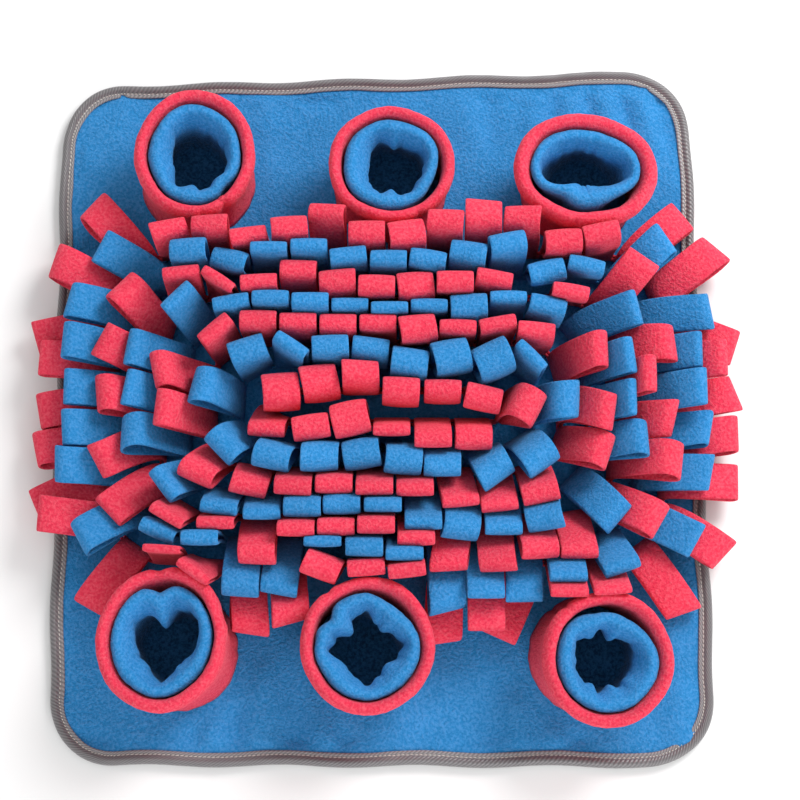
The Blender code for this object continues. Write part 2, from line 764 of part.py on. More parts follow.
def build_ring(row, loops):
    """One ring: the sewn strip, closed all the way round, with its loops growing from it."""
    ring, colour = row[:2]
    length = ring_length(ring)
    bm = bmesh.new()
    stations = []
    for index, loop in enumerate(loops):
        roots = add_loop(bm, loop)
        for far, (out_top, in_top), grows in zip((loop["from"], loop["to"]), roots, (True, False)):
            corners = strip_section(ring, far)
            out_low = bm.verts.new(corners[0])
            in_low = bm.verts.new(corners[3])
            stations.append(((out_low, out_top, in_top, in_low), grows))
        bare = (loops[(index + 1) % len(loops)]["from"] - loop["to"]) % length
        steps = math.ceil(bare / BARE_STEP)
        for step in range(1, steps):
            corners = strip_section(ring, loop["to"] + bare * step / steps)
            stations.append((tuple(bm.verts.new(corner) for corner in corners), False))
    for (here, grows), (after, _) in zip(stations, stations[1:] + stations[:1]):
        for a, b in ((0, 1), (1, 2), (2, 3), (3, 0)):
            # The strip's top is open where a loop grows out of it.
            if not (grows and a == 1):
                bm.faces.new((here[a], here[b], after[b], after[a]))
    in_triangles(bm)
    add_object(f"fringe_ring_{ring}", bm, colour)


def main():
    clear_scene()
    build_mat()
    build_binding()
    for cup in CUPS:
        build_cup(cup)
    for row, loops in place_loops():
        build_ring(row, loops)


if __name__ == "__main__":
    main()
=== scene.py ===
"""Snuffle mat in fleece: a bound panel, seven rings of looped fringe and six double cups.

Everything is in metres and degrees in the frame's own axes: the mat lies on z = 0 and +Y is its
far edge.
Each piece but the stitches takes the place of the frame's plain solid of the same form.
"""

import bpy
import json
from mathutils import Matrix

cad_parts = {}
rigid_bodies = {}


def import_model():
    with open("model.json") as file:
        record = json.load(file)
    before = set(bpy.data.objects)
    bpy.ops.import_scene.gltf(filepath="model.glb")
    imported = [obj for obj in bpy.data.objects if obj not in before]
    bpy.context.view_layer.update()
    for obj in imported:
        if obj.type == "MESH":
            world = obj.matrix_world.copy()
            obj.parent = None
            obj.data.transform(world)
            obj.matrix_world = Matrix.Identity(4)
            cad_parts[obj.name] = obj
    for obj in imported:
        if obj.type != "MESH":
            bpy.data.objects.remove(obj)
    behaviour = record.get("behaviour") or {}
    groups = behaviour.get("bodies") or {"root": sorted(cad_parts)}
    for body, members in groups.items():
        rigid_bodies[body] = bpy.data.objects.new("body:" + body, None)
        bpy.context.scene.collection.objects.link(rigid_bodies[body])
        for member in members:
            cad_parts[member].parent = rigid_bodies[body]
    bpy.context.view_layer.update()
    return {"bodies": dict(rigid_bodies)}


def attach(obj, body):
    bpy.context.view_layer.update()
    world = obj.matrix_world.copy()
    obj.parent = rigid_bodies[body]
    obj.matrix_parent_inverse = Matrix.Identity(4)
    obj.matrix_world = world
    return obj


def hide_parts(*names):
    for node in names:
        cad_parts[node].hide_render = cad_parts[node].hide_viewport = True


bl_info = {
    "name": "Snuffle Mat",
    "version": (1, 0, 0),
    "blender": (4, 5, 0),
    "location": "3D View > Sidebar > Snuffle Mat",
    "description": "Sews a fleece mat with a taped edge, looped fringe and soft cups",
    "category": "Object",
}

import json
import math
import random
from collections import namedtuple

import bmesh
import bpy
from bpy.props import FloatProperty, FloatVectorProperty, PointerProperty
from mathutils import Matrix, Vector, noise
from mathutils.bvhtree import BVHTree

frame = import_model()
BODY = next(iter(frame["bodies"]))  # the mat is one body, which carries every piece

# ---------------------------------------------------------------- the pattern pieces

AIR = 0.0004  # left between pieces that touch

# The panel's cut is a little out of square: how far each corner is drawn from the rectangle.
# side_x, side_y, shift_x, shift_y
CORNER_SHIFTS = (
    (-1, 1, -0.002, -0.006),
    (1, 1, -0.004, 0.007),
    (1, -1, 0.002, -0.001),
    (-1, -1, 0.004, 0.000),
)
EDGE_WAVE = 0.0010  # how far the cut edge wanders in and out
EDGE_WAVES = 5  # waves along a side
PANEL_STEP = 0.0025  # between the points of the panel's top

# Soft ridges (+) and troughs (-) in the padding, each along a line and dying out beside it.
# from_x, from_y, to_x, to_y, spread, height
CREASES = (
    (0.112, 0.236, 0.108, 0.206, 0.0080, 0.0022),
    (0.127, 0.236, 0.122, 0.202, 0.0045, -0.0022),
    (0.138, 0.236, 0.136, 0.202, 0.0070, 0.0024),
    (0.149, 0.236, 0.151, 0.202, 0.0042, -0.0026),
    (0.160, 0.236, 0.164, 0.204, 0.0065, 0.0024),
    (0.171, 0.236, 0.178, 0.203, 0.0042, -0.0026),
    (0.184, 0.234, 0.194, 0.196, 0.0070, 0.0026),
    (0.198, 0.226, 0.206, 0.190, 0.0050, -0.0018),
    (0.060, 0.236, 0.062, 0.204, 0.0110, 0.0018),
    (0.076, 0.236, 0.080, 0.196, 0.0090, -0.0018),
    (-0.040, 0.236, -0.062, 0.190, 0.0140, -0.0026),
    (-0.074, 0.236, -0.084, 0.206, 0.0100, 0.0018),
    (-0.208, 0.180, -0.178, 0.205, 0.0120, 0.0024),
    (-0.214, 0.110, -0.186, 0.118, 0.0110, -0.0020),
    (0.212, 0.120, 0.190, 0.104, 0.0100, -0.0020),
    (0.214, 0.050, 0.196, 0.046, 0.0120, 0.0018),
    (0.214, -0.080, 0.192, -0.090, 0.0120, -0.0020),
    (-0.214, -0.040, -0.194, -0.046, 0.0130, -0.0020),
    (-0.196, -0.150, -0.186, -0.226, 0.0120, -0.0028),
    (-0.126, -0.214, -0.121, -0.236, 0.0060, -0.0024),
    (-0.114, -0.204, -0.109, -0.236, 0.0075, 0.0028),
    (-0.098, -0.206, -0.092, -0.236, 0.0070, -0.0022),
    (-0.078, -0.180, -0.076, -0.236, 0.0100, 0.0022),
    (-0.058, -0.140, -0.054, -0.236, 0.0110, -0.0036),
    (-0.038, -0.204, -0.034, -0.236, 0.0080, 0.0026),
    (-0.022, -0.214, -0.020, -0.236, 0.0060, -0.0020),
    (0.066, -0.140, 0.076, -0.236, 0.0160, -0.0028),
    (0.092, -0.200, 0.092, -0.236, 0.0090, 0.0024),
    (0.120, -0.214, 0.118, -0.236, 0.0080, 0.0024),
    (0.134, -0.216, 0.136, -0.236, 0.0060, -0.0020),
    (0.196, -0.150, 0.204, -0.226, 0.0120, 0.0024),
)
CREASE_REACH = 3  # spreads from its line, where a crease has died out
FADE_AT_TAPE = (0.0005, 0.0075)  # the relief fades out over these distances from the tape
FADE_AT_CUP = (0.005, 0.020)  # and over these from a cup's foot
PUCKER_REACH = 0.020  # how far the stitching's puckers run into the panel
PUCKER_HEIGHT = 0.0017
PUCKER_WIDTH = 0.013
LUMP_HEIGHT = 0.0005  # of the padding's own unevenness
LUMP_WIDTH = 0.030
# Slices of the noise, one for each kind of unevenness.
PUCKER_SLICE, FOOT_SLICE, LUMP_SLICE, PUFF_SLICE, WANDER_SLICE = 3.0, 5.0, 7.0, 11.0, 17.0

# The tape's folded section, from its lower edge round the outside to its hem on the panel, and
# back inside it to the lower edge; puff and wander are how much the roll's unevenness and the
# hem's wander move each row.
# inset, height, puff, wander
TAPE_SECTION = (
    (0.0094, 0.0002, 0.0, 0.0),
    (0.0050, 0.0000, 0.0, 0.0),
    (0.0012, 0.0002, 0.0, 0.0),
    (0.0002, 0.0016, 0.3, 0.0),
    (0.0000, 0.0036, 0.6, 0.0),
    (0.0005, 0.0058, 0.9, 0.0),
    (0.0016, 0.0075, 1.0, 0.0),
    (0.0032, 0.0083, 1.0, 0.0),
    (0.0048, 0.0079, 0.7, 0.0),
    (0.0060, 0.0066, 0.2, 0.2),
    (0.0066, 0.0056, 0.0, 0.3),
    (0.0076, 0.0063, 0.1, 0.7),
    (0.0090, 0.0063, 0.2, 1.0),
    (0.0096, 0.0058, 0.1, 1.0),
    (0.0094, 0.0054, 0.0, 1.0),
    (0.0060, 0.0053, 0.0, 0.0),
    (0.0024, 0.0052, 0.0, 0.0),
    (0.0024, 0.0014, 0.0, 0.0),
    (0.0060, 0.0013, 0.0, 0.0),
    (0.0094, 0.0013, 0.0, 0.0),
)
TAPE_TOP = max(height for _, height, _, _ in TAPE_SECTION)
TAPE_BACK = 0.0024  # the panel's edge lies this far in, in the fold of the tape
GROOVE_LOW = 0.0014  # heights between which the fold holds the panel's edge
GROOVE_HIGH = 0.0052
TAPE_INSET = 0.0095  # where the hem ends and the open panel begins
UNDERSIDE_SLOPE = 0.0012  # width of the slope from the tape's lower edge down to the floor
TAPE_STEP = 0.0024  # between the points along the tape
TAPE_CLOSING = 0.001  # width on the tape's map of the face that closes its section
PUFF = 0.0005  # unevenness of the roll
PUFF_WIDTH = 0.011
WANDER = 0.0005  # of the hem's edge
WANDER_WIDTH = 0.016
HEM_INSET = 0.0088  # of the line on the hem that the pleats are measured from
# Small pleats where the tape turns the corners: place, spread along the edge, depth.
# x, y, spread, depth
TAPE_PLEATS = (
    (-0.2010, 0.2150, 0.0016, 0.0026),
    (-0.1830, 0.2270, 0.0018, 0.0030),
    (0.2060, -0.1960, 0.0030, 0.0016),
    (0.1980, -0.2120, 0.0024, 0.0018),
    (0.1840, -0.2250, 0.0026, 0.0014),
    (0.1900, 0.2330, 0.0024, 0.0016),
    (0.2020, 0.2210, 0.0022, 0.0018),
    (-0.2010, -0.2140, 0.0026, 0.0018),
    (-0.1880, -0.2260, 0.0022, 0.0014),
)
PLEAT_REACH = 0.012
PLEAT_SINK = 0.2  # how far a pleat lowers the hem, as a share of its depth

# The stitches lie in the crease between the tape's roll and its hem.
STITCH_INSET = 0.0067
STITCH_HEIGHT = 0.0062
STITCH_RISE = (-0.0004, 0.0002)  # of a stitch's ends and of its middle
STITCH_ASLANT = 0.0002  # how far its ends lie off the row, to either side
STITCH_STRAY = 0.00015
STITCH_END = 0.35  # the share of the thread's thickness that shows at its ends
STITCH_SIDES = 5
STITCH_STEPS = 5
STITCH_SEED = 11

# Cups: a red tube doubled over into a rolled rim, and a blue pocket with a rim of its own. Each
# leans by so much from its foot to its rim, and rim_share is its share of the set rim width.
Cup = namedtuple("Cup", "name base_x base_y lean_x lean_y half_width half_depth turn rim_share")
CUPS = (
    Cup("far_left", -0.128, 0.163, 0.003, 0.006, 0.0412, 0.0455, 4, 1.10),
    Cup("far_middle", 0.008, 0.160, 0.001, 0.001, 0.0435, 0.0412, -6, 1.05),
    Cup("far_right", 0.140, 0.156, 0.001, 0.001, 0.0500, 0.0405, -8, 1.36),
    Cup("near_left", -0.134, -0.165, -0.007, 0.006, 0.0425, 0.0475, -10, 1.12),
    Cup("near_middle", -0.010, -0.166, 0.004, 0.003, 0.0442, 0.0450, 0, 1.08),
    Cup("near_right", 0.141, -0.168, 0.009, -0.005, 0.0425, 0.0445, 8, 1.10),
)
CUP_SIDES = 144
TEST_SIDES = 32  # of the plain tubes that the fringe settles against
WIDEST_SHARE = 0.9  # of the height, where a cup has its full width
SWELL_POWER = 1.4
UNEVEN = 0.0012  # how far a cup's walls are from even curves
UNEVEN_RIM = 0.0014  # and its rim's height
UNEVENS = 1.6  # scale of their noise, round a circle of radius 1
CUPS_APART = 90  # how far the cups' noises lie from each other, across the mat
RIM_SLICE = 7
RIM_DIP = 0.4  # the rim dips further than it rises
RIM_POWER = 4  # and only near the top
NAP_LUMP = 0.00035  # small unevenness of the fleece itself
NAP_LUMP_WIDTH = 0.0045

WAIST = 0.0022  # how far the tube's wall draws in below its rim
ROLL_SHARE = 0.82  # of its height, where the tube's wall starts to roll over
TUBE_STEPS = (10, 8, 6)  # up the outside, over the rim and down the inside
TUBE_FOOT = 0.0052  # how far in the tube's inner layer stands at its foot
FOOT_LUMP = 0.0008  # unevenness of the sewn foot
FOOT_LUMP_WIDTH = 0.007
FOOT_SHARE = 0.35  # of the height, where it has died out

FOLDED_SHARE = 0.5  # of the height, from which a pocket's gaps and folds have their full depth
# Where a pocket stands off its tube.
# direction, spread, depth
POCKET_GAPS = {
    "far_left": ((60, 34, 0.0012), (-48, 12, 0.0026)),
    "far_middle": ((-20, 34, 0.0034), (165, 30, 0.0010)),
    "far_right": ((226, 25, 0.0060), (-44, 25, 0.0056), (-90, 24, 0.0012)),
    "near_left": ((92, 13, 0.0062), (60, 22, 0.0016)),
    "near_middle": ((58, 30, 0.0048), (146, 12, 0.0056)),
    "near_right": ((62, 36, 0.0052), (105, 18, 0.0022)),
}
# Where a pocket's lip folds into its opening (+), or lies nearer to its wall (-).
# direction, spread, depth
POCKET_FOLDS = {
    "far_left": (
        (185, 45, 0.0036), (0, 50, -0.0030), (92, 34, -0.0026), (132, 13, -0.0022),
        (-96, 11, 0.0036), (-128, 12, -0.0026),
    ),
    "far_middle": (
        (180, 44, 0.0042), (0, 46, -0.0036), (84, 10, 0.0034), (118, 16, -0.0030),
        (-92, 11, 0.0046), (-58, 12, -0.0020),
    ),
    "far_right": (
        (92, 50, -0.0026), (78, 8, 0.0018), (-90, 48, 0.0066), (178, 26, -0.0062),
        (0, 24, -0.0062),
    ),
    "near_left": (
        (98, 15, 0.0078), (150, 22, -0.0030), (35, 30, -0.0040), (225, 26, 0.0022),
        (-96, 14, -0.0034), (-50, 22, 0.0034),
    ),
    "near_middle": (
        (136, 15, 0.0056), (92, 11, -0.0034), (46, 13, 0.0034), (2, 13, -0.0034),
        (-46, 17, 0.0038), (-90, 12, -0.0036), (226, 16, 0.0030), (186, 11, -0.0032),
    ),
    "near_right": (
        (122, 13, 0.0044), (94, 10, -0.0026), (70, 10, 0.0034), (20, 26, -0.0026),
        (-78, 8, 0.0030), (-98, 8, -0.0026), (-114, 8, 0.0024), (186, 24, 0.0018),
    ),
}
# Seams that close a tube or a pocket: a narrow groove down its wall.
# direction, spread, depth
TUBE_SEAMS = {
    "far_left": ((-82, 3.2, 0.0012), (-60, 5.0, 0.0026)),
    "far_middle": ((-62, 3.0, 0.0011),),
    "far_right": ((-102, 3.0, 0.0010),),
    "near_left": ((92, 6.0, 0.0024), (22, 9.0, 0.0012), (-2, 9.0, 0.0012)),
    "near_middle": ((128, 4.0, 0.0012),),
    "near_right": ((128, 3.6, 0.0012),),
}
POCKET_SEAMS = {
    "far_left": ((-84, 5.0, 0.0008),),
    "far_right": ((-86, 4.0, 0.0010),),
    "near_middle": ((122, 5.0, 0.0012),),
}
SEAM_INSIDE = 0.3  # the share of a tube's seam that still shows past the top of its rim
SEAM_SINK = 0.5  # how far a seam lowers the rim, as a share of its depth
TUBE_SINK = (0.80, 0.95)  # shares of the height over which it comes to that
POCKET_SINK = (0.80, 0.93)

WRINKLE = 0.0018  # of the pocket's inside, in soft upright folds
WRINKLES = 4.0  # scale of their noise, round a circle of radius 1
WRINKLE_RISE = 0.35  # and how far it is read upwards, over the height
WRINKLE_LOW = 1.6  # the nearer this is to 1, the less the wrinkles show at the rim
POCKET_CLEAR = 0.0008  # between a pocket and the tube's rim
POCKET_STEPS = (7, 8, 5)  # up the outside, over the rim and across the floor
POCKET_SHARES = (0.04, 0.865)  # of the height, between which the outside runs
POCKET_WALL = (0.0047, 0.0012)  # from the tube's rim in to the outside, at its foot and top
POCKET_TAPER = 0.87  # share of the height over which it comes nearer
POCKET_LIP = 0.0034  # half the width of the pocket's rim
POCKET_ROLL = 0.080  # share of the height that the rim rolls up over
LIP_FOLDS = 0.5  # how much of the folds' depth the lip has
# The pocket's lip and inside, below the top of its roll: share of the height, how far inside the
# tube's rim, and how much of the folds' depth.
POCKET_INSIDE = (
    (0.862, 0.0086, 0.55),
    (0.815, 0.0096, 0.75),
    (0.755, 0.0106, 0.95),
    (0.690, 0.0112, 1.00),
    (0.620, 0.0108, 1.00),
    (0.540, 0.0094, 0.90),
    (0.440, 0.0080, 0.75),
    (0.330, 0.0072, 0.65),
    (0.220, 0.0072, 0.60),
    (0.120, 0.0080, 0.55),
)
POCKET_FLOOR = (0.10, 0.0085, 0.55)  # the same three for its floor, which is drawn to a point
POCKET_PAINTED_SHADE = 0.72  # how much painted shade darkens the pile deep in a pocket
POCKET_PAINTED_SHADE_SHARES = (0.30, 0.76)  # of the height, over which the painted shade fades out, from full below to none above

# Fringe: doubled fleece sewn down along a strip and slit into loops.
TUCK_SHARE = 1.3  # how much a root narrows where its strip turns
MOST_TUCK = 0.0036
TUCK_TURN = 60
STRIP_HEIGHT = 0.005
STRIP_STEP = 0.006  # between the points of the plain strips that the fringe settles against
STRIP_AHEAD = 0.0005  # to either side, to find the way that a strip runs
SEWN = 0.012  # a loop's layers lie together up to here
SLACK = 0.0003  # between the layers at their root
SEWN_SLACK = 0.0010  # and where they part
SWUNG_SHARE = 0.5  # of a loop's length, where it has all of its swing
TWIST_SHARES = (0.1, 1.0)  # over which it twists
LINE_STEPS = 24
LEG_STEPS = 4  # of a layer between its sewn stretch and its fold
FOLD_STEPS = 6  # of a loop's round fold
PATH_ROWS = 2 * (2 + LEG_STEPS + 1) + FOLD_STEPS - 1
ACROSS = (-1.0, -0.82, 0.0, 0.82, 1.0)  # places of a loop's points across its width
RING_MIDDLE = (0.0055, 0.002)  # the rings are sewn a little off the panel's middle
# The loops fall outwards, least where a cup crowds the middle of the near side. first is the
# shift of a ring's first loop, and the last six are the leans of its loops in degrees: on its
# sides, on its far side from left to right, and on its near side left of, at and right of the cup.
Ring = namedtuple(
    "Ring",
    "number colour half_x half_y radius first side_lean far_left far_right "
    "near_left near_middle near_right",
)
RINGS = (
    Ring(1, "red", 0.1875, 0.1080, 0.042, 0.50, 86, 12, 12, 60, 18, 86),
    Ring(2, "blue", 0.1705, 0.0925, 0.038, 0.95, 74, 24, 14, 46, 30, 64),
    Ring(3, "red", 0.1535, 0.0770, 0.034, 0.25, 56, 10, 10, 42, 36, 54),
    Ring(4, "blue", 0.1365, 0.0612, 0.030, 0.92, 50, 12, 10, 38, 36, 48),
    Ring(5, "red", 0.1190, 0.0450, 0.026, 0.21, 40, 13, 8, 34, 34, 46),
    Ring(6, "blue", 0.1005, 0.0290, 0.020, 0.40, 28, -12, -22, 20, 26, 40),
    Ring(7, "red", 0.0820, 0.0112, 0.0105, 0.63, 14, -26, -33, 8, 14, 30),
)
SIDE_TURN = (0.80, 0.97)  # how squarely a loop faces a side as it takes on that side's lean
FAR_TURN = (-0.020, 0.060)  # where the far side's lean changes from left to right
CROWDED = (-0.030, 0.012)  # where the near side's middle cup stands
CROWDED_EDGE = 0.020
FRONT_LEANS = (-8, 0, 4)  # of the outer rings' loops in front of a far cup
FRONT_WIDTH = 0.036  # to either side of the cup's middle
STANDING_OPEN = 0.0105  # a loop's opening where it stands
LYING_OPEN = 0.0042  # and where it lies
OPEN_SPREAD = (0.7, 1.15)
INNER_RING = 6  # from this ring inwards the loops have room and open further
INNER_OPEN = 1.5
LEAN_SPREAD = 11
BOW_SPREAD = (4, 28)  # how far a loop's head nods over
BOW_SHARES = (0.20, 0.95)  # of its length, over which it nods
SWING_SPREAD = (9, 15)  # on a straight strip and round a corner
STRAY_SHARE = 0.22  # of the loops, which swing further
STRAY_SWING = (18, 31)
TWIST_SPREAD = 16
LENGTH_SPREAD = 0.003
# What the cutting and sewing leave uneven in each loop.
SKEW_SPREAD = 0.0036  # of its fold, from one cut edge to the other
CROWN_SPREAD = (0.0004, 0.0014)  # of its fold, in the middle of its width
WAVE_SPREAD = 0.0009  # of its layers, along its length
WAVE_LENGTH = 0.034
TONE_SPREAD = 0.05
# A crowded loop is drawn with less of its turns, or swung aside, with less opening and bow, and
# leans by up to so many steps more or less.
# turned, aside, opened, bowed, steps
EASES = (
    (1.0, 0, 1.0, 1.0, 5),
    (0.6, 0, 0.85, 0.7, 5),
    (0.3, 0, 0.7, 0.4, 6),
    (0.0, 0, 0.5, 0.2, 8),
    (0.0, 24, 0.5, 0.2, 8),
    (0.0, -24, 0.5, 0.2, 8),
    (0.0, 0, 0.2, 0.0, 14),
    (0.0, 34, 0.2, 0.0, 14),
    (0.0, -34, 0.2, 0.0, 14),
    (0.0, 0, 0.1, 0.0, 30),
)
LEAN_STEP = 4
LEAST_LEAN = -34
MOST_LEAN = 92
# Then it sags and opens into the room left round it: what grows, by which steps, by how much in
# all, from which lean on, and up to which value.
# key, step, most, least lean, limit
RELAXES = (
    ("open", 0.0016, 0.0096, LEAST_LEAN, 0.0190),
    ("bow", 7, 35, LEAST_LEAN, 60),
    ("lean", 4, 12, 15, 88),
    ("open", 0.0012, 0.0084, LEAST_LEAN, 0.0210),
    ("bow", 7, 21, LEAST_LEAN, 60),
)
CLEARANCE = 0.0002  # between loops, and from the tape's top
SEEDS = (11, 292, 33, 394, 54, 287, 941)  # of the chance in each ring's loops

# ---------------------------------------------------------------- the finishes

BLUE = "#3088C8"
RED = "#E83E57"
TAPE_GREY = "#777476"
THREAD_GREY = "#D9D5CE"
PAPER = "#F4F4F4"

# Sizes in the materials. Real pile has clumps about 1.2 mm wide with tufts of 0.4 mm on them, and
# real twill has ribs about 0.8 mm apart. All three are drawn coarser, so that they show.
FLEECE_CLUMP = 0.0019
FLEECE_TUFT = 0.0010
FLEECE_PATCH = 0.028  # of patches where the pile lies another way
TWILL_RIB = 0.0019
TAPE_HEM = 0.0214  # across the tape's map, where its roll ends and its flat hem begins
TAPE_WEAR = 0.009
THREAD_PLY = 0.0008
PAPER_PATCH = 0.12
WAVE_UNIT = 0.314  # scale at which the wave texture has one band to a unit
# How much painted light and shade the clumps carry in their colour, beside what their relief
# gives.
PILE_PAINTED_SHADES = {"blue_polyester_fleece": 0.14, "red_polyester_fleece": 0.08}
SHEEN_PALE = 0.55  # how far the pile's sheen goes from its colour to white

FLOOR_HALF = 4.0
FLOOR_DROP = 0.0003  # under the mat, so that the two faces don't meet
KEY_PLACE = (0.75, 0.80, 0.95)
KEY_SIZE = 0.65
FILL_PLACE = (0.35, -1.35, 0.60)
FILL_SIZE = 1.10
FILL_SHARE = 0.60  # of the key light's power
CAMERA_PLACE = (0.01457, -0.21953, 1.22907)
CAMERA_TARGET = (0.014571, 0.008261, 0.0)
CAMERA_LENS = 80.84  # millimetres, as the sensor
SENSOR = 36.0


def to_linear(hex_colour):
    """Turn an sRGB hex colour into the linear values that a shader takes."""
    values = [int(hex_colour[i : i + 2], 16) / 255 for i in (1, 3, 5)]
    return [v / 12.92 if v <= 0.04045 else ((v + 0.055) / 1.055) ** 2.4 for v in values]


def colour_property(name, hex_colour, description):
    return FloatVectorProperty(
        name=name,
        description=description,
        default=to_linear(hex_colour),
        subtype="COLOR",
        min=0.0,
        max=1.0,
    )


def length_property(name, metres, description):
    return FloatProperty(
        name=name,
        description=description,
        default=metres,
        min=0.0,
        unit="LENGTH",
        precision=4,
    )


class PanelSizes(bpy.types.PropertyGroup):
    width: length_property("Width", 0.450, "Width of the bound panel")
    length: length_property("Length", 0.482, "Length of the bound panel")
    thickness: length_property("Thickness", 0.005, "Thickness of the padded panel")
    corner: length_property("Corner radius", 0.047, "Radius of the panel's round corners")
    stitch_pitch: length_property("Stitch pitch", 0.0031, "Distance between the tape's stitches")
    stitch_length: length_property("Stitch length", 0.0023, "Length of each stitch that shows")
    thread: length_property("Thread", 0.0007, "Thickness of the sewing thread")


class CupSizes(bpy.types.PropertyGroup):
    height: length_property("Height", 0.058, "Height of a cup above the panel")
    base_radius: length_property("Base radius", 0.040, "Radius of a cup where it is sewn down")
    rim_width: length_property("Rim width", 0.0082, "Width of a cup's rolled rim")


class FringeSizes(bpy.types.PropertyGroup):
    fleece: length_property("Fleece", 0.0023, "Thickness of the fleece")
    loop_length: length_property("Loop length", 0.060, "Length of a loop above its sewing line")
    loop_width: length_property("Loop width", 0.0248, "Width of a loop between its slits")
    loop_pitch: length_property("Loop pitch", 0.0264, "Distance from one loop to the next")


class ClothColours(bpy.types.PropertyGroup):
    blue: colour_property("Blue fleece", BLUE, "Colour of the panel, pockets and blue rings")
    red: colour_property("Red fleece", RED, "Colour of the cups' tubes and red rings")
    tape: colour_property("Edge tape", TAPE_GREY, "Colour of the woven tape")
    thread: colour_property("Thread", THREAD_GREY, "Colour of the tape's stitches")
    floor: colour_property("Floor", PAPER, "Colour of the floor under the mat")


class StageLight(bpy.types.PropertyGroup):
    key: FloatProperty(
        name="Key", description="Power of the large light", default=16.8, min=0.0, unit="POWER"
    )
    sky: FloatProperty(
        name="Sky", description="Strength of the light all round", default=0.72, min=0.0
    )


class MatSettings(bpy.types.PropertyGroup):
    panel: PointerProperty(type=PanelSizes)
    cups: PointerProperty(type=CupSizes)
    fringe: PointerProperty(type=FringeSizes)
    colours: PointerProperty(type=ClothColours)
    light: PointerProperty(type=StageLight)


# ---------------------------------------------------------------- small tools


def smooth(low, high, value):
    """0 below low, 1 above high and an even curve between them."""
    t = min(1.0, max(0.0, (value - low) / (high - low)))
    return t * t * (3 - 2 * t)


def mix(low, high, share):
    return low + (high - low) * share


def ripple(x, y, z, width):
    """Soft noise from -1 to 1 whose bumps are about this wide."""
    return noise.noise(Vector((x, y, z)) / width)


def grid(bm, columns, rows, place, tones_and_painted_shade=None):
    """Add a grid with each point where place(column, row) says, and give back its points.

    The tones give each row of points its tone, which makes the fleece paler or darker there: a
    loop's own random tone, or a painted shade deep in a pocket.
    """
    layers = bm.verts.layers.float
    tone = (layers.get("tone") or layers.new("tone")) if tones_and_painted_shade else None
    made = {}
    for vert in bmesh.ops.create_grid(bm, x_segments=columns, y_segments=rows, size=1.0)["verts"]:
        column = round((vert.co.x + 1) / 2 * columns)
        row = round((vert.co.y + 1) / 2 * rows)
        vert.co = place(column, row)
        made[column, row] = vert
        if tones_and_painted_shade:
            vert[tone] = tones_and_painted_shade[row]
    return made


def close_up(bm):
    """Merge the points where a sheet meets itself, and turn its faces outwards."""
    bmesh.ops.remove_doubles(bm, verts=bm.verts, dist=1e-6)
    bmesh.ops.recalc_face_normals(bm, faces=bm.faces)


def add_piece(name, bm, material, nodes):
    """Make a piece of the finished shape that takes the place of these solids of the frame."""
    mesh = bpy.data.meshes.new(name)
    bm.to_mesh(mesh)
    bm.free()
    mesh.shade_smooth()
    mesh.materials.append(material)
    obj = bpy.data.objects.new(name, mesh)
    bpy.context.scene.collection.objects.link(obj)
    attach(obj, BODY)
    if nodes:
        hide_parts(*nodes)
    return obj


def thicken(obj, thickness, rounding):
    """Give a sheet its thickness, half to each side, and round its cut edges."""
    wall = obj.modifiers.new("Fleece thickness", "SOLIDIFY")
    wall.thickness = thickness
    wall.offset = 0.0
    if rounding:
        soft = obj.modifiers.new("Soft edges", "SUBSURF")
        soft.levels = rounding
        soft.render_levels = rounding


# ---------------------------------------------------------------- materials


def feed(material, node, *sources, **links):
    """Link these outputs to a node's first inputs, and those to its inputs of these names."""
    for key, source in (*enumerate(sources), *links.items()):
        named = key.replace("_", " ") if isinstance(key, str) else key
        material.node_tree.links.new(source, node.inputs[named])


def add_node(material, kind, output, settings, *sources, **links):
    """Add a shader node with its settings and links, and give back this output of it."""
    node = material.node_tree.nodes.new("ShaderNode" + kind)
    for key, value in settings.items():
        if key in node.inputs:
            node.inputs[key].default_value = value
        else:
            setattr(node, key, value)
    feed(material, node, *sources, **links)
    return node.outputs[output]


def new_material(name, colour, **settings):
    """Start a material of cloth or paper, with these settings of its shader."""
    material = bpy.data.materials.new(name)
    material.use_nodes = True
    shader = material.node_tree.nodes["Principled BSDF"]
    settings = {"Metallic": 0.0, "Specular_IOR_Level": 0.25, **settings}
    for key, value in {"Base_Color": (*colour, 1), **settings}.items():
        shader.inputs[key.replace("_", " ")].default_value = value
    return material, shader


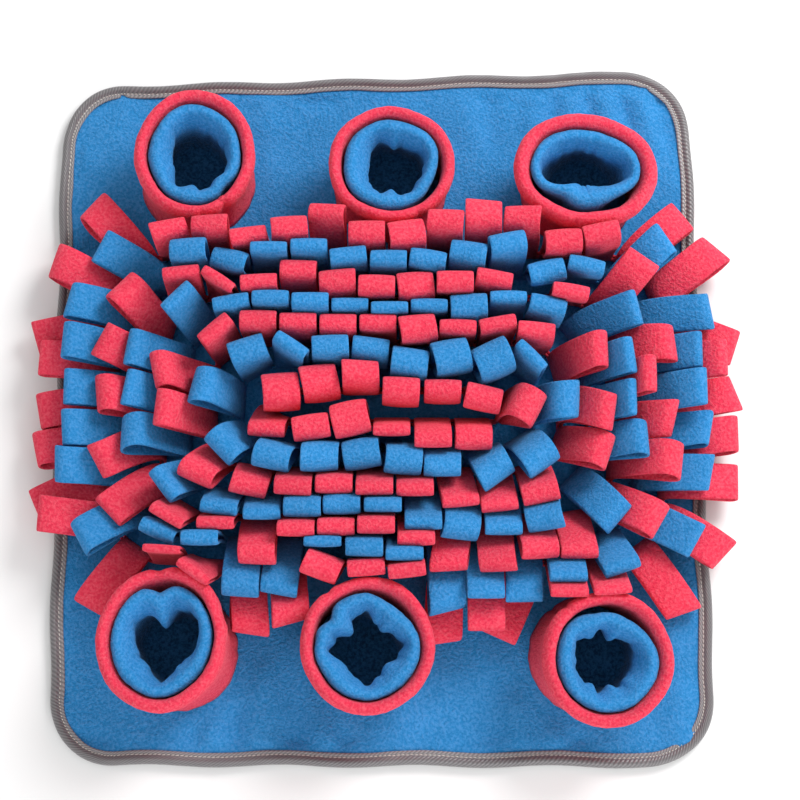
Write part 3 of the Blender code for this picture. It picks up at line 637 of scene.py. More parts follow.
def fleece_material(name, colour):
    """Anti-pill polyester fleece with brushed pile: matt, pebbled, and light at grazing angles."""
    pale = [mix(value, 1.0, SHEEN_PALE) for value in colour]
    material, shader = new_material(
        name,
        colour,
        Roughness=0.95,
        Sheen_Weight=0.12,
        Sheen_Roughness=0.45,
        Sheen_Tint=(*pale, 1),
    )
    # How strongly light and shade are painted onto the clumps.
    depth = PILE_PAINTED_SHADES[name]
    place = add_node(material, "TexCoord", "Object", {})
    clumps, tufts, patches = (
        add_node(
            material,
            "TexNoise",
            "Fac",
            {"Scale": 1 / width, "Detail": detail, "Roughness": rough},
            Vector=place,
        )
        for width, detail, rough in (
            (FLEECE_CLUMP, 3.0, 0.6),
            (FLEECE_TUFT, 2.0, 0.7),
            (FLEECE_PATCH, 2.0, 0.5),
        )
    )
    # Painted light and shade on the clumps: their tops are painted lighter and a little paler, the
    # hollows between them darker.
    clump_painted_shade, clump_painted_paling, lie = (
        add_node(
            material,
            "MapRange",
            "Result",
            {"From Min": low, "From Max": high, "To Min": at_low, "To Max": at_high},
            Value=source,
        )
        for source, low, high, at_low, at_high in (
            (clumps, 0.36, 0.60, 1 - depth, 1 + depth * 0.5),
            (clumps, 0.40, 0.66, 1.02, 0.95),
            (patches, 0.3, 0.7, -0.05, 0.05),
        )
    )
    # The tone attribute brings each loop's random tone and the painted shade deep in the pockets.
    tone = add_node(material, "Attribute", "Fac", {"attribute_name": "tone"})
    uneven = add_node(material, "Math", "Value", {"operation": "ADD"}, lie, tone)
    value = add_node(material, "Math", "Value", {"operation": "ADD"}, clump_painted_shade, uneven)
    dye = {"Color": (*colour, 1)}
    shade = add_node(
        material, "HueSaturation", "Color", dye, Value=value, Saturation=clump_painted_paling
    )
    coarse = add_node(
        material, "Bump", "Normal", {"Strength": 1.0, "Distance": 0.0015}, Height=clumps
    )
    fine = add_node(
        material,
        "Bump",
        "Normal",
        {"Strength": 0.60, "Distance": 0.0006},
        Height=tufts,
        Normal=coarse,
    )
    feed(material, shader, Base_Color=shade, Normal=fine)
    return material


def tape_material(name, colour):
    """Woven polyester twill tape: smooth with a slight shine, in fine diagonal ribs."""
    material, shader = new_material(
        name,
        colour,
        Roughness=0.42,
        Specular_IOR_Level=0.6,
        Sheen_Weight=0.15,
        Sheen_Roughness=0.4,
    )
    place = add_node(material, "UVMap", "UV", {"uv_map": "tape"})
    slant = add_node(
        material,
        "Mapping",
        "Vector",
        {"Rotation": (0, 0, math.radians(52)), "Scale": (1 / TWILL_RIB,) * 3},
        Vector=place,
    )
    ribs = add_node(
        material,
        "TexWave",
        "Fac",
        {
            "wave_type": "BANDS",
            "Scale": WAVE_UNIT,
            "Distortion": 1.2,
            "Detail": 2.0,
            "Detail Scale": 0.5,
        },
        Vector=slant,
    )
    worn = add_node(
        material, "TexNoise", "Fac", {"Scale": 1 / TAPE_WEAR, "Detail": 3.0}, Vector=place
    )
    across = add_node(material, "SeparateXYZ", "Y", {}, Vector=place)
    # Painted shade: the roll, which turns from the light, is painted darker than the flat hem.
    ends = {"From Min": TAPE_HEM - 0.001, "From Max": TAPE_HEM + 0.001}
    shine, rib_tone, roll_painted_shade = (
        add_node(
            material,
            "MapRange",
            "Result",
            {**span, "To Min": at_low, "To Max": at_high},
            Value=source,
        )
        for source, span, at_low, at_high in (
            (worn, {}, 0.28, 0.48),
            (ribs, {}, 0.70, 1.22),
            (across, ends, 0.86, 1.28),
        )
    )
    ribbed = add_node(
        material, "HueSaturation", "Color", {"Color": (*colour, 1)}, Value=rib_tone
    )
    roll_shaded = add_node(material, "HueSaturation", "Color", {}, Color=ribbed, Value=roll_painted_shade)
    raised = add_node(
        material, "Bump", "Normal", {"Strength": 0.6, "Distance": 0.0004}, Height=ribs
    )
    feed(material, shader, Base_Color=roll_shaded, Roughness=shine, Normal=raised)
    return material


def toned_by_noise(material, shader, colour, width, detail, least, most):
    """Tone a colour from least to most of itself, in patches or specks about this wide."""
    place = add_node(material, "TexCoord", "Object", {})
    size = {"Scale": 1 / width, "Detail": detail}
    specks = add_node(material, "TexNoise", "Fac", size, Vector=place)
    ends = {"To Min": least, "To Max": most}
    value = add_node(material, "MapRange", "Result", ends, Value=specks)
    dye = {"Color": (*colour, 1)}
    shade = add_node(material, "HueSaturation", "Color", dye, Value=value)
    feed(material, shader, Base_Color=shade)


def thread_material(name, colour):
    """Spun polyester thread: pale and slightly glossy, its plies just seen as lighter specks."""
    material, shader = new_material(name, colour, Roughness=0.55, Sheen_Weight=0.2)
    toned_by_noise(material, shader, colour, THREAD_PLY, 1.0, 0.8, 1.15)
    return material


def floor_material(name, colour):
    """Matt studio paper: pale, without gloss, and all but even."""
    material, shader = new_material(name, colour, Roughness=0.9)
    toned_by_noise(material, shader, colour, PAPER_PATCH, 2.0, 0.995, 1.005)
    return material


# Each material's maker and the colour that it takes.
FINISHES = {
    "blue_polyester_fleece": (fleece_material, "blue"),
    "red_polyester_fleece": (fleece_material, "red"),
    "polyester_twill_tape": (tape_material, "tape"),
    "spun_polyester_thread": (thread_material, "thread"),
    "matt_studio_paper": (floor_material, "floor"),
}


def finish_named(name):
    """The shared material of this name, made when it is first asked for."""
    known = bpy.data.materials.get(name)
    if known:
        return known
    make, colour = FINISHES[name]
    return make(name, getattr(bpy.context.scene.snuffle_mat.colours, colour))


def fleece_named(colour):
    return finish_named(f"{colour}_polyester_fleece")


# ---------------------------------------------------------------- the panel and its tape


def round_corner(x, y, half_x, half_y, radius):
    """Move a point of a rectangle so that the rectangle's corners become round."""
    in_x = abs(x) - (half_x - radius)
    in_y = abs(y) - (half_y - radius)
    if in_x <= 0 or in_y <= 0:
        return x, y
    a = in_x / radius
    b = in_y / radius
    round_x = half_x - radius + radius * a * math.sqrt(1 - b * b / 2)
    round_y = half_y - radius + radius * b * math.sqrt(1 - a * a / 2)
    return math.copysign(round_x, x), math.copysign(round_y, y)


def as_cut(panel, x, y):
    """Move a point of the true rectangle to where the uneven cut of the cloth has it."""
    u = x / panel.width + 0.5
    v = y / panel.length + 0.5
    out_x = x
    out_y = y
    for side_x, side_y, shift_x, shift_y in CORNER_SHIFTS:
        weight = (u if side_x > 0 else 1 - u) * (v if side_y > 0 else 1 - v)
        out_x += weight * shift_x
        out_y += weight * shift_y
    turns = 2 * math.pi * EDGE_WAVES
    # The 1.0 keeps the waves of the long sides out of step with those of the short ones.
    out_x += EDGE_WAVE * (2 * u - 1) * math.sin(turns * v + 1.0)
    out_y += EDGE_WAVE * (2 * v - 1) * math.sin(turns * u)
    return out_x, out_y


def edge_place(panel, share, inset):
    """A point of the panel's outline after this share of its way round, this far in."""
    half_x = panel.width / 2 - inset
    half_y = panel.length / 2 - inset
    runs = (2 * half_y, 2 * half_x, 2 * half_y, 2 * half_x)
    far = (share % 1.0) * sum(runs)
    corners = ((half_x, -half_y), (half_x, half_y), (-half_x, half_y), (-half_x, -half_y))
    steps = ((0, 1), (-1, 0), (0, -1), (1, 0))
    for run, (x, y), (step_x, step_y) in zip(runs, corners, steps):
        if far <= run:
            break
        far -= run
    square = (x + step_x * far, y + step_y * far)
    return as_cut(panel, *round_corner(*square, half_x, half_y, panel.corner - inset))


def relief(panel, x, y):
    """Height of the padding's ridges, puckers and lumps, which die out at the tape and cups."""
    height = 0.0
    for x0, y0, x1, y1, spread, rise in CREASES:
        run = Vector((x1 - x0, y1 - y0))
        place = Vector((x - x0, y - y0))
        share = min(1.0, max(0.0, place.dot(run) / run.length_squared))
        off = (place - run * share).length / spread
        if off < CREASE_REACH:
            height += rise * math.exp(-off * off)
    edge = min(panel.width / 2 - abs(x), panel.length / 2 - abs(y)) - TAPE_INSET
    pull = math.exp(-max(0.0, edge) / PUCKER_REACH)
    height += PUCKER_HEIGHT * pull * ripple(x, y, PUCKER_SLICE, PUCKER_WIDTH)
    height += LUMP_HEIGHT * ripple(x, y, LUMP_SLICE, LUMP_WIDTH)
    height *= smooth(*FADE_AT_TAPE, edge)
    base_radius = bpy.context.scene.snuffle_mat.cups.base_radius
    for cup in CUPS:
        off = math.hypot(x - cup.base_x, y - cup.base_y) - base_radius
        height *= smooth(*FADE_AT_CUP, off)
    return height


def build_panel(settings):
    panel = settings.panel
    inset = TAPE_BACK + AIR
    half_x = panel.width / 2 - inset
    half_y = panel.length / 2 - inset
    radius = panel.corner - inset
    columns = round(panel.width / PANEL_STEP)
    rows = round(panel.length / PANEL_STEP)

    def place(column, row):
        x = half_x * (2 * column / columns - 1)
        y = half_y * (2 * row / rows - 1)
        cut_x, cut_y = as_cut(panel, *round_corner(x, y, half_x, half_y, radius))
        if column in (0, columns) or row in (0, rows):
            return cut_x, cut_y, GROOVE_HIGH - 2 * AIR
        return cut_x, cut_y, panel.thickness + relief(panel, cut_x, cut_y)

    bm = bmesh.new()
    grid(bm, columns, rows, place)
    rim = [edge for edge in bm.edges if edge.is_boundary]
    for item in bmesh.ops.extrude_edge_only(bm, edges=rim)["geom"]:
        if isinstance(item, bmesh.types.BMVert):
            item.co.z = GROOVE_LOW + AIR
    lower = [edge for edge in bm.edges if edge.is_boundary]
    bottom = bmesh.ops.contextual_create(bm, geom=lower)["faces"]
    # The underside comes down to the floor just inside the tape's lower edge.
    bmesh.ops.inset_individual(bm, faces=bottom, thickness=TAPE_INSET - TAPE_BACK)
    bmesh.ops.inset_individual(bm, faces=bottom, thickness=UNDERSIDE_SLOPE)
    for vert in bottom[0].verts:
        vert.co.z = 0.0
    bmesh.ops.recalc_face_normals(bm, faces=bm.faces)
    return add_piece("mat_panel", bm, fleece_named("blue"), ["mat"])


def tape_pleat(x, y):
    """How deep the tape is pleated at this place of its hem."""
    depth = 0.0
    for pleat_x, pleat_y, spread, most in TAPE_PLEATS:
        off = math.hypot(x - pleat_x, y - pleat_y)
        if off < PLEAT_REACH:
            depth = max(depth, most * math.exp(-((off / spread) ** 2)))
    return depth


def tape_place(panel, share, inset, height, puff, wander):
    """A point of a row of the tape's section, after this share of the way round the panel."""
    x, y = edge_place(panel, share, inset)
    height += puff * PUFF * ripple(x, y, PUFF_SLICE, PUFF_WIDTH)
    inset += wander * WANDER * ripple(x, y, WANDER_SLICE, WANDER_WIDTH)
    if wander:
        pleat = tape_pleat(*edge_place(panel, share, HEM_INSET))
        inset -= wander * pleat
        height -= wander * pleat * PLEAT_SINK
    return *edge_place(panel, share, inset), height


def build_tape(settings):
    panel = settings.panel
    way_round = 2 * (panel.width + panel.length)
    columns = round(way_round / TAPE_STEP)
    rows = len(TAPE_SECTION)
    walked = [0.0]
    for (inset_a, high_a, *_), (inset_b, high_b, *_) in zip(TAPE_SECTION, TAPE_SECTION[1:]):
        walked.append(walked[-1] + math.hypot(inset_b - inset_a, high_b - high_a))
    walked.append(walked[-1] + TAPE_CLOSING)

    def place(column, row):
        return tape_place(panel, column / columns, *TAPE_SECTION[row % rows])

    bm = bmesh.new()
    # The map runs in metres along the tape and across it.
    uv_map = bm.loops.layers.uv.new("tape")
    for (column, row), vert in grid(bm, columns, rows, place).items():
        for corner in vert.link_loops:
            corner[uv_map].uv = (column / columns * way_round, walked[row])
    close_up(bm)
    tape = finish_named("polyester_twill_tape")
    return add_piece("edge_tape", bm, tape, ["binding"])


def build_stitches(settings):
    """The row of stitches that holds the tape: each a short thread that dips in at its ends."""
    panel = settings.panel
    way_round = 2 * (panel.width + panel.length)
    count = round(way_round / panel.stitch_pitch)
    draw = random.Random(STITCH_SEED)
    bm = bmesh.new()
    for i in range(count):
        share = i / count
        inset = STITCH_INSET + draw.uniform(-1, 1) * STITCH_STRAY
        half = panel.stitch_length / 2 / way_round
        start = Vector((*edge_place(panel, share - half, inset - STITCH_ASLANT), 0))
        end = Vector((*edge_place(panel, share + half, inset + STITCH_ASLANT), 0))
        along = (end - start).normalized()
        across = Vector((-along.y, along.x, 0))

        def place(column, row):
            share_along = column / STITCH_STEPS
            rise = math.sin(math.pi * share_along)
            thick = panel.thread / 2 * mix(STITCH_END, 1.0, math.sqrt(max(0.0, rise)))
            turn = 2 * math.pi * (row % STITCH_SIDES) / STITCH_SIDES
            middle = start.lerp(end, share_along)
            middle.z = STITCH_HEIGHT + mix(*STITCH_RISE, rise)
            middle.z += math.sin(turn) * thick
            return middle + across * math.cos(turn) * thick

        grid(bm, STITCH_STEPS, STITCH_SIDES, place)
    bmesh.ops.remove_doubles(bm, verts=bm.verts, dist=1e-6)
    ends = [edge for edge in bm.edges if edge.is_boundary]
    bmesh.ops.holes_fill(bm, edges=ends, sides=STITCH_SIDES)
    bmesh.ops.recalc_face_normals(bm, faces=bm.faces)
    return add_piece("tape_stitches", bm, finish_named("spun_polyester_thread"), [])


# ---------------------------------------------------------------- the cups


def bumps(rows, angle):
    """Sum of these rows at an angle: each row is a soft bump centred on its direction."""
    total = 0.0
    for direction, spread, depth in rows:
        off = (math.degrees(angle) - direction + 180) % 360 - 180
        total += depth * math.exp(-((off / spread) ** 2))
    return total


def cup_place(settings, cup, angle, share, inside):
    """A point of a cup at this angle and share of its height, this far inside its outer face."""
    cups = settings.cups
    swell = min(1.0, share / WIDEST_SHARE) ** SWELL_POWER
    turned = angle - math.radians(cup.turn)
    rim = cup.half_width * cup.half_depth / math.hypot(
        cup.half_depth * math.cos(turned), cup.half_width * math.sin(turned)
    )
    round_it = Vector((math.cos(angle), math.sin(angle), 0)) * UNEVENS
    round_it += Vector((cup.base_x, cup.base_y, 0)) * CUPS_APART
    radius = cups.base_radius + (rim - cups.base_radius) * swell - inside
    radius += UNEVEN * noise.noise(round_it + Vector((0, 0, share))) * swell
    dip = noise.noise(round_it + Vector((0, 0, RIM_SLICE))) - RIM_DIP
    height = (cups.height - AIR) * share
    height += UNEVEN_RIM * dip * share**RIM_POWER
    x = cup.base_x + cup.lean_x * share + radius * math.cos(angle)
    y = cup.base_y + cup.lean_y * share + radius * math.sin(angle)
    return x, y, settings.panel.thickness + AIR + height


def tube_section(settings, cup):
    """Middle of the tube's fleece: up the outside, over the rolled rim and down the inside."""
    fleece = settings.fringe.fleece
    rim = settings.cups.rim_width * cup.rim_share
    half = (rim - fleece) / 2
    top = 1 - fleece / 2 / settings.cups.height
    up, over, down = TUBE_STEPS
    rows = []
    for step in range(up + 1):
        waist = WAIST * math.sin(math.pi * step / up)
        rows.append((ROLL_SHARE * step / up, fleece / 2 + waist))
    for step in range(1, over + 1):
        turn = math.pi * step / over
        share = ROLL_SHARE + (top - ROLL_SHARE) * math.sin(turn)
        rows.append((share, rim / 2 - half * math.cos(turn)))
    for step in range(1, down + 1):
        share = ROLL_SHARE * (1 - step / down)
        inside = mix(TUBE_FOOT, rim - fleece / 2, smooth(0.0, ROLL_SHARE, share))
        rows.append((share, inside))
    return rows


def sew_layer(settings, name, colour, solid, rows, place, tones_and_painted_shade=None):
    """Close a layer of a cup all the way round and make it a piece of fleece."""
    bm = bmesh.new()
    grid(bm, CUP_SIDES, len(rows) - 1, place, tones_and_painted_shade)
    close_up(bm)
    obj = add_piece(name, bm, fleece_named(colour), [solid])
    thicken(obj, settings.fringe.fleece, 0)
    return obj


def build_tube(settings, cup):
    rows = tube_section(settings, cup)
    up, over, _ = TUBE_STEPS

    def place(column, row):
        share, inside = rows[row]
        angle = 2 * math.pi * (column % CUP_SIDES) / CUP_SIDES
        x, y, z = cup_place(settings, cup, angle, share, inside)
        foot = FOOT_LUMP * ripple(x, y, FOOT_SLICE, FOOT_LUMP_WIDTH)
        inside += NAP_LUMP * ripple(x, y, z, NAP_LUMP_WIDTH)
        inside += foot * (1 - smooth(0.0, FOOT_SHARE, share))
        seam = bumps(TUBE_SEAMS[cup.name], angle)
        if row <= up + over / 2:
            inside += seam
        else:
            seam *= SEAM_INSIDE
        x, y, z = cup_place(settings, cup, angle, share, inside)
        return x, y, z - SEAM_SINK * seam * smooth(*TUBE_SINK, share)

    return sew_layer(settings, f"cup_tube_{cup.name}", "red", f"cup_outer_{cup.name}", rows, place)


def pocket_section():
    """Middle of the pocket's fleece: up outside, over its rim, down inside and over its floor.

    Each row is a share of the height, how far inside the tube's rim, how far out from the
    pocket's middle, and how much of the folds' depth.
    """
    up, over, across = POCKET_STEPS
    foot, top = POCKET_SHARES
    rows = []
    for step in range(up + 1):
        share = mix(foot, top, step / up)
        inside = mix(*POCKET_WALL, smooth(0.0, POCKET_TAPER, share))
        rows.append((share, inside, 1.0, 0.0))
    for step in range(1, over):
        turn = math.pi * step / over
        inside = POCKET_WALL[1] + POCKET_LIP * (1 - math.cos(turn))
        rows.append((top + POCKET_ROLL * math.sin(turn), inside, 1.0, LIP_FOLDS * step / over))
    rows += [(share, inside, 1.0, folding) for share, inside, folding in POCKET_INSIDE]
    share, inside, folding = POCKET_FLOOR
    rows += [(share, inside, 1 - step / across, folding) for step in range(1, across + 1)]
    return rows


def build_pocket(settings, cup):
    rows = pocket_section()
    rim = settings.cups.rim_width * cup.rim_share + POCKET_CLEAR

    def place(column, row):
        share, inside, drawn, folding = rows[row]
        angle = 2 * math.pi * (column % CUP_SIDES) / CUP_SIDES
        folded = min(1.0, share / FOLDED_SHARE)
        depth = rim + inside + bumps(POCKET_GAPS[cup.name], angle) * folded
        depth += bumps(POCKET_FOLDS[cup.name], angle) * folded * folding
        upright = Vector((math.cos(angle), math.sin(angle), WRINKLE_RISE * share)) * WRINKLES
        wrinkle = noise.noise(upright + Vector((cup.base_x, cup.base_y, 0)) * CUPS_APART)
        depth += WRINKLE * wrinkle * folding * (WRINKLE_LOW - share)
        x, y, z = cup_place(settings, cup, angle, share, depth)
        seam = bumps(POCKET_SEAMS.get(cup.name, ()), angle)
        depth += NAP_LUMP * ripple(x, y, z, NAP_LUMP_WIDTH) - seam * folding
        x, y, z = cup_place(settings, cup, angle, share, depth)
        x = mix(cup.base_x + cup.lean_x * share, x, drawn)
        y = mix(cup.base_y + cup.lean_y * share, y, drawn)
        return x, y, z - SEAM_SINK * seam * smooth(*POCKET_SINK, share)

    # Painted shade: deep in the pocket the pile is painted darker than at the rim, where less
    # light reaches.
    tones_and_painted_shade = [
        -POCKET_PAINTED_SHADE * (1 - smooth(*POCKET_PAINTED_SHADE_SHARES, share)) * (folding > LIP_FOLDS)
        for share, _, _, folding in rows
    ]
    name = f"cup_pocket_{cup.name}"
    return sew_layer(settings, name, "blue", f"cup_inner_{cup.name}", rows, place, tones_and_painted_shade)


# ---------------------------------------------------------------- the fringe


def ring_length(ring):
    """Length of a ring's sewing line."""
    return 4 * (ring.half_x + ring.half_y) - 8 * ring.radius + 2 * math.pi * ring.radius


def ring_place(ring, far):
    """Where a ring's sewing line is after this length, counter-clockwise from its far side."""
    radius = ring.radius
    runs = (ring.half_x - radius, ring.half_y - radius)
    far = far % ring_length(ring)
    # The walk starts at the middle of the far side and takes a run, a corner, a run...
    x = RING_MIDDLE[0]
    y = RING_MIDDLE[1] + ring.half_y
    heading = math.pi
    steps = [runs[0]]
    for side in (1, 0, 1, 0):
        steps += [None, 2 * runs[side]]
    for run in steps:
        if run is None:
            arc = radius * math.pi / 2
            turn = min(far, arc) / radius
            x += radius * (math.sin(heading + turn) - math.sin(heading))
            y -= radius * (math.cos(heading + turn) - math.cos(heading))
            heading += turn
            far -= arc
        else:
            x += math.cos(heading) * min(far, run)
            y += math.sin(heading) * min(far, run)
            far -= run
        if far <= 0:
            break
    return Vector((x, y, 0))


def drawn_lean(ring, root, outward):
    """Lean of a loop that grows from here: by the side it faces, and by the cup it stands at."""
    far_lean = mix(ring.far_left, ring.far_right, smooth(*FAR_TURN, root.x))
    from_x, to_x = CROWDED
    left, middle, right = ring.near_left, ring.near_middle, ring.near_right
    near_lean = left + (middle - left) * smooth(from_x - CROWDED_EDGE, from_x, root.x)
    near_lean += (right - middle) * smooth(to_x, to_x + CROWDED_EDGE, root.x)
    lean = ring.side_lean
    lean += (far_lean - ring.side_lean) * smooth(*SIDE_TURN, outward.y)
    lean += (near_lean - ring.side_lean) * smooth(*SIDE_TURN, -outward.y)
    by_cup = min(abs(root.x - cup.base_x) for cup in CUPS if cup.base_y > 0)
    if ring.number <= len(FRONT_LEANS) and outward.y > SIDE_TURN[1] and by_cup < FRONT_WIDTH:
        lean = FRONT_LEANS[ring.number - 1]
    return lean


def loop_root(sizes, ring, middle):
    """Where a loop is sewn down: its middle, the way it faces, its width and where it starts."""
    half = sizes.loop_width / 2
    ahead = ring_place(ring, middle + half) - ring_place(ring, middle)
    behind = ring_place(ring, middle) - ring_place(ring, middle - half)
    # Where the strip turns a corner the roots are narrower, so that neighbours don't meet.
    turn = min(behind.angle(ahead), math.radians(TUCK_TURN))
    tuck = min(MOST_TUCK, TUCK_SHARE * sizes.fleece * math.tan(turn))
    left = ring_place(ring, middle - half + tuck)
    right = ring_place(ring, middle + half - tuck)
    along = right - left
    width = along.length
    along.normalize()
    return (left + right) / 2, Vector((along.y, -along.x, 0)), width, middle - half + tuck


def draw_loops(sizes, ring):
    """The loops of a ring as drawn, before they settle on what lies around them."""
    length = ring_length(ring)
    count = round(length / sizes.loop_pitch)
    draw = random.Random(SEEDS[ring.number - 1])
    hand = random.Random(SEEDS[ring.number - 1] + 1)
    loops = []
    for i in range(count):
        middle = length * (i + ring.first) / count
        root, outward, root_width, start = loop_root(sizes, ring, middle)
        lean = drawn_lean(ring, root, outward) + draw.uniform(-1, 1) * LEAN_SPREAD
        upright = math.cos(math.radians(lean))
        straight = abs(outward.y) > SIDE_TURN[1]
        swing = draw.uniform(-1, 1) * SWING_SPREAD[0 if straight else 1]
        if draw.random() < STRAY_SHARE:
            swing = math.copysign(draw.uniform(*STRAY_SWING), swing)
        opening = mix(LYING_OPEN, STANDING_OPEN, upright)
        loop = {
            "name": (ring.number, i),
            "from": start,
            "root": root,
            "outward": outward,
            "root_width": root_width,
            "lean": lean,
            "swing": swing,
            "twist": draw.uniform(-1, 1) * TWIST_SPREAD,
            "open": opening * draw.uniform(*OPEN_SPREAD),
            "length": sizes.loop_length + draw.uniform(-1, 1) * LENGTH_SPREAD,
            "bow": draw.uniform(*BOW_SPREAD),
            "skew": hand.uniform(-1, 1) * SKEW_SPREAD,
            "crown": hand.uniform(*CROWN_SPREAD),
            "wave": hand.uniform(-1, 1) * WAVE_SPREAD,
            "phase": hand.uniform(0, 2 * math.pi),
            "tone": hand.uniform(-1, 1) * TONE_SPREAD,
        }
        if ring.number >= INNER_RING:
            loop["open"] *= INNER_OPEN
        loops.append(loop)
    return loops


def loop_line(panel, loop):
    """A loop's middle line in even steps: its point, its width axis and its downward side."""
    point = loop["root"] + Vector((0, 0, panel.thickness + AIR + STRIP_HEIGHT))
    step = loop["length"] / LINE_STEPS
    line = []
    for i in range(LINE_STEPS + 1):
        share = i / LINE_STEPS
        bend = min(1.0, share * loop["length"] / SEWN)
        lean = math.radians(loop["lean"] * bend + loop["bow"] * smooth(*BOW_SHARES, share))
        swing = math.radians(loop["swing"] * smooth(0.0, SWUNG_SHARE, share))
        level = Matrix.Rotation(swing, 3, "Z") @ loop["outward"]
        heading = level * math.sin(lean) + Vector((0, 0, math.cos(lean)))
        across = Vector((0, 0, 1)).cross(level)
        twist = math.radians(loop["twist"]) * smooth(*TWIST_SHARES, share)
        across = Matrix.Rotation(twist, 3, heading) @ across
        line.append((point, across, across.cross(heading)))
        point = point + heading * step
    return line


def loop_path(sizes, loop, side):
    """The fleece's way from its lower root over the fold to its upper root.

    Each row is the length along the loop, the distance to the lower side of its middle line, and
    the direction out of the cloth in the same two measures.
    """
    fleece = sizes.fleece
    opened = (fleece + loop["open"]) / 2 + loop["crown"] * (1 - side * side)
    wide = loop["length"] - fleece / 2 - opened
    sewn = (fleece + SLACK) / 2
    narrow = (fleece + SEWN_SLACK) / 2
    leg = [(0.0, sewn), (SEWN / 2, sewn)]
    for i in range(LEG_STEPS + 1):
        share = i / LEG_STEPS
        parted = (share + smooth(0, 1, share)) / 2
        leg.append((mix(SEWN, wide, share), mix(narrow, opened, parted)))
    rows = [(far, off, 0.0, 1.0) for far, off in leg]
    for i in range(1, FOLD_STEPS):
        turn = math.pi * i / FOLD_STEPS
        out, up = math.sin(turn), math.cos(turn)
        rows.append((wide + opened * out, opened * up, out, up))
    rows += [(far, -off, 0.0, -1.0) for far, off in reversed(leg)]
    uneven = []
    for far, off, out_far, out_off in rows:
        grown = smooth(SEWN, wide, far)
        wave = loop["wave"] * math.sin(2 * math.pi * far / WAVE_LENGTH + loop["phase"]) * grown
        uneven.append((far + loop["skew"] * side * grown, off + wave, out_far, out_off))
    return uneven


def loop_surface(sizes, panel, loop, out, wider):
    """A function of row and side that places a point of the loop, this far out of the cloth."""
    line = loop_line(panel, loop)
    paths = {}

    def place(row, side):
        if side not in paths:
            paths[side] = loop_path(sizes, loop, side)
        far, off, out_far, out_off = paths[side][row]
        rooted = far <= 0
        far += out * out_far
        off += out * out_off
        where = min(LINE_STEPS - 1e-6, max(0.0, far / loop["length"] * LINE_STEPS))
        i = int(where)
        point, across, down = (a.lerp(b, where - i) for a, b in zip(line[i], line[i + 1]))
        beyond = far - loop["length"]
        if beyond > 0:
            point = point + across.cross(down) * -beyond
        width = mix(loop["root_width"], sizes.loop_width, smooth(0.0, SEWN, far))
        width = loop["root_width"] if rooted else width
        return point + down * off + across * side * (width / 2 + wider)

    return place


# Corners of the fleece's own section, for the test of what touches: side, inner or outer face.
TEST_CORNERS = ((-1, 1), (1, 1), (1, -1), (-1, -1), (-1, 1))


def loop_skin(sizes, panel, loop, grow):
    """The skin of a loop, grown by this much, to test what it touches."""
    bm = bmesh.new()
    half = sizes.fleece / 2 + grow
    faces = {out: loop_surface(sizes, panel, loop, out * half, grow) for out in (1, -1)}

    def place(column, row):
        side, out = TEST_CORNERS[row]
        return faces[out](column, side)

    grid(bm, PATH_ROWS - 1, len(TEST_CORNERS) - 1, place)
    return bm


def as_tree(bm):
    bmesh.ops.triangulate(bm, faces=bm.faces)
    tree = BVHTree.FromBMesh(bm)
    bm.free()
    return tree


def is_clear(sizes, panel, loop, placed):
    """Whether a loop, grown by the clearance, keeps off the mat and all that is placed."""
    bm = loop_skin(sizes, panel, loop, CLEARANCE)
    lowest = min(vert.co.z for vert in bm.verts)
    if lowest < TAPE_TOP + CLEARANCE:
        bm.free()
        return False
    tree = as_tree(bm)
    reach = 2 * sizes.loop_length + sizes.loop_width
    for name, (middle, other) in placed.items():
        near = middle is None or (middle - loop["root"]).length < reach
        # A loop grows out of its own ring's strip.
        if near and name != loop["name"][0] and tree.overlap(other):
            return False
    return True


def settle(sizes, panel, loop, placed):
    """Stand a loop where it is drawn, or as near to that as there is room for it."""
    drawn = dict(loop)
    for turned, aside, opened, bowed, most_steps in EASES:
        for key in ("swing", "twist", "skew", "wave"):
            loop[key] = drawn[key] * turned
        loop["swing"] += aside
        loop["open"] = drawn["open"] * opened
        loop["bow"] = drawn["bow"] * bowed
        for step in range(most_steps):
            for way in (-1, 1):
                loop["lean"] = drawn["lean"] + way * step * LEAN_STEP
                fits = LEAST_LEAN <= loop["lean"] <= MOST_LEAN
                if fits and is_clear(sizes, panel, loop, placed):
                    return True
    return False


def relax(sizes, panel, loops, placed):
    """Let the settled loops open up and sag into the room that is left round them."""
    for key, step, most, least_lean, limit in RELAXES:
        for loop in loops:
            if loop["lean"] < least_lean:
                continue
            where = placed.pop(loop["name"])
            most_here = min(limit, loop[key] + most)
            while loop[key] + step <= most_here:
                loop[key] += step
                if not is_clear(sizes, panel, loop, placed):
                    loop[key] -= step
                    break
            tree = as_tree(loop_skin(sizes, panel, loop, 0.0))
            placed[loop["name"]] = (where[0], tree)


def plain_tube(settings, cup):
    """A cup's outer face and rim as a plain skin for the loops to lie against."""
    half = settings.fringe.fleece / 2
    rows = [(share, inside - half) for share, inside in tube_section(settings, cup)]

    def place(column, row):
        angle = 2 * math.pi * (column % TEST_SIDES) / TEST_SIDES
        return cup_place(settings, cup, angle, *rows[row])

    bm = bmesh.new()
    grid(bm, TEST_SIDES, len(rows) - 1, place)
    return bm


def plain_strip(settings, ring):
    """A ring's sewn strip as a plain skin for the loops to lie against."""
    length = ring_length(ring)
    steps = math.ceil(length / STRIP_STEP)
    half = settings.fringe.fleece + SLACK / 2
    low = settings.panel.thickness + AIR
    corners = ((half, 0.0), (half, STRIP_HEIGHT), (-half, STRIP_HEIGHT), (-half, 0.0), (half, 0.0))

    def place(column, row):
        far = length * (column % steps) / steps
        ahead = ring_place(ring, far + STRIP_AHEAD) - ring_place(ring, far - STRIP_AHEAD)
        out = Vector((ahead.y, -ahead.x, 0)).normalized()
        side, height = corners[row]
        return ring_place(ring, far) + out * side + Vector((0, 0, low + height))

    bm = bmesh.new()
    grid(bm, steps, len(corners) - 1, place)
    return bm


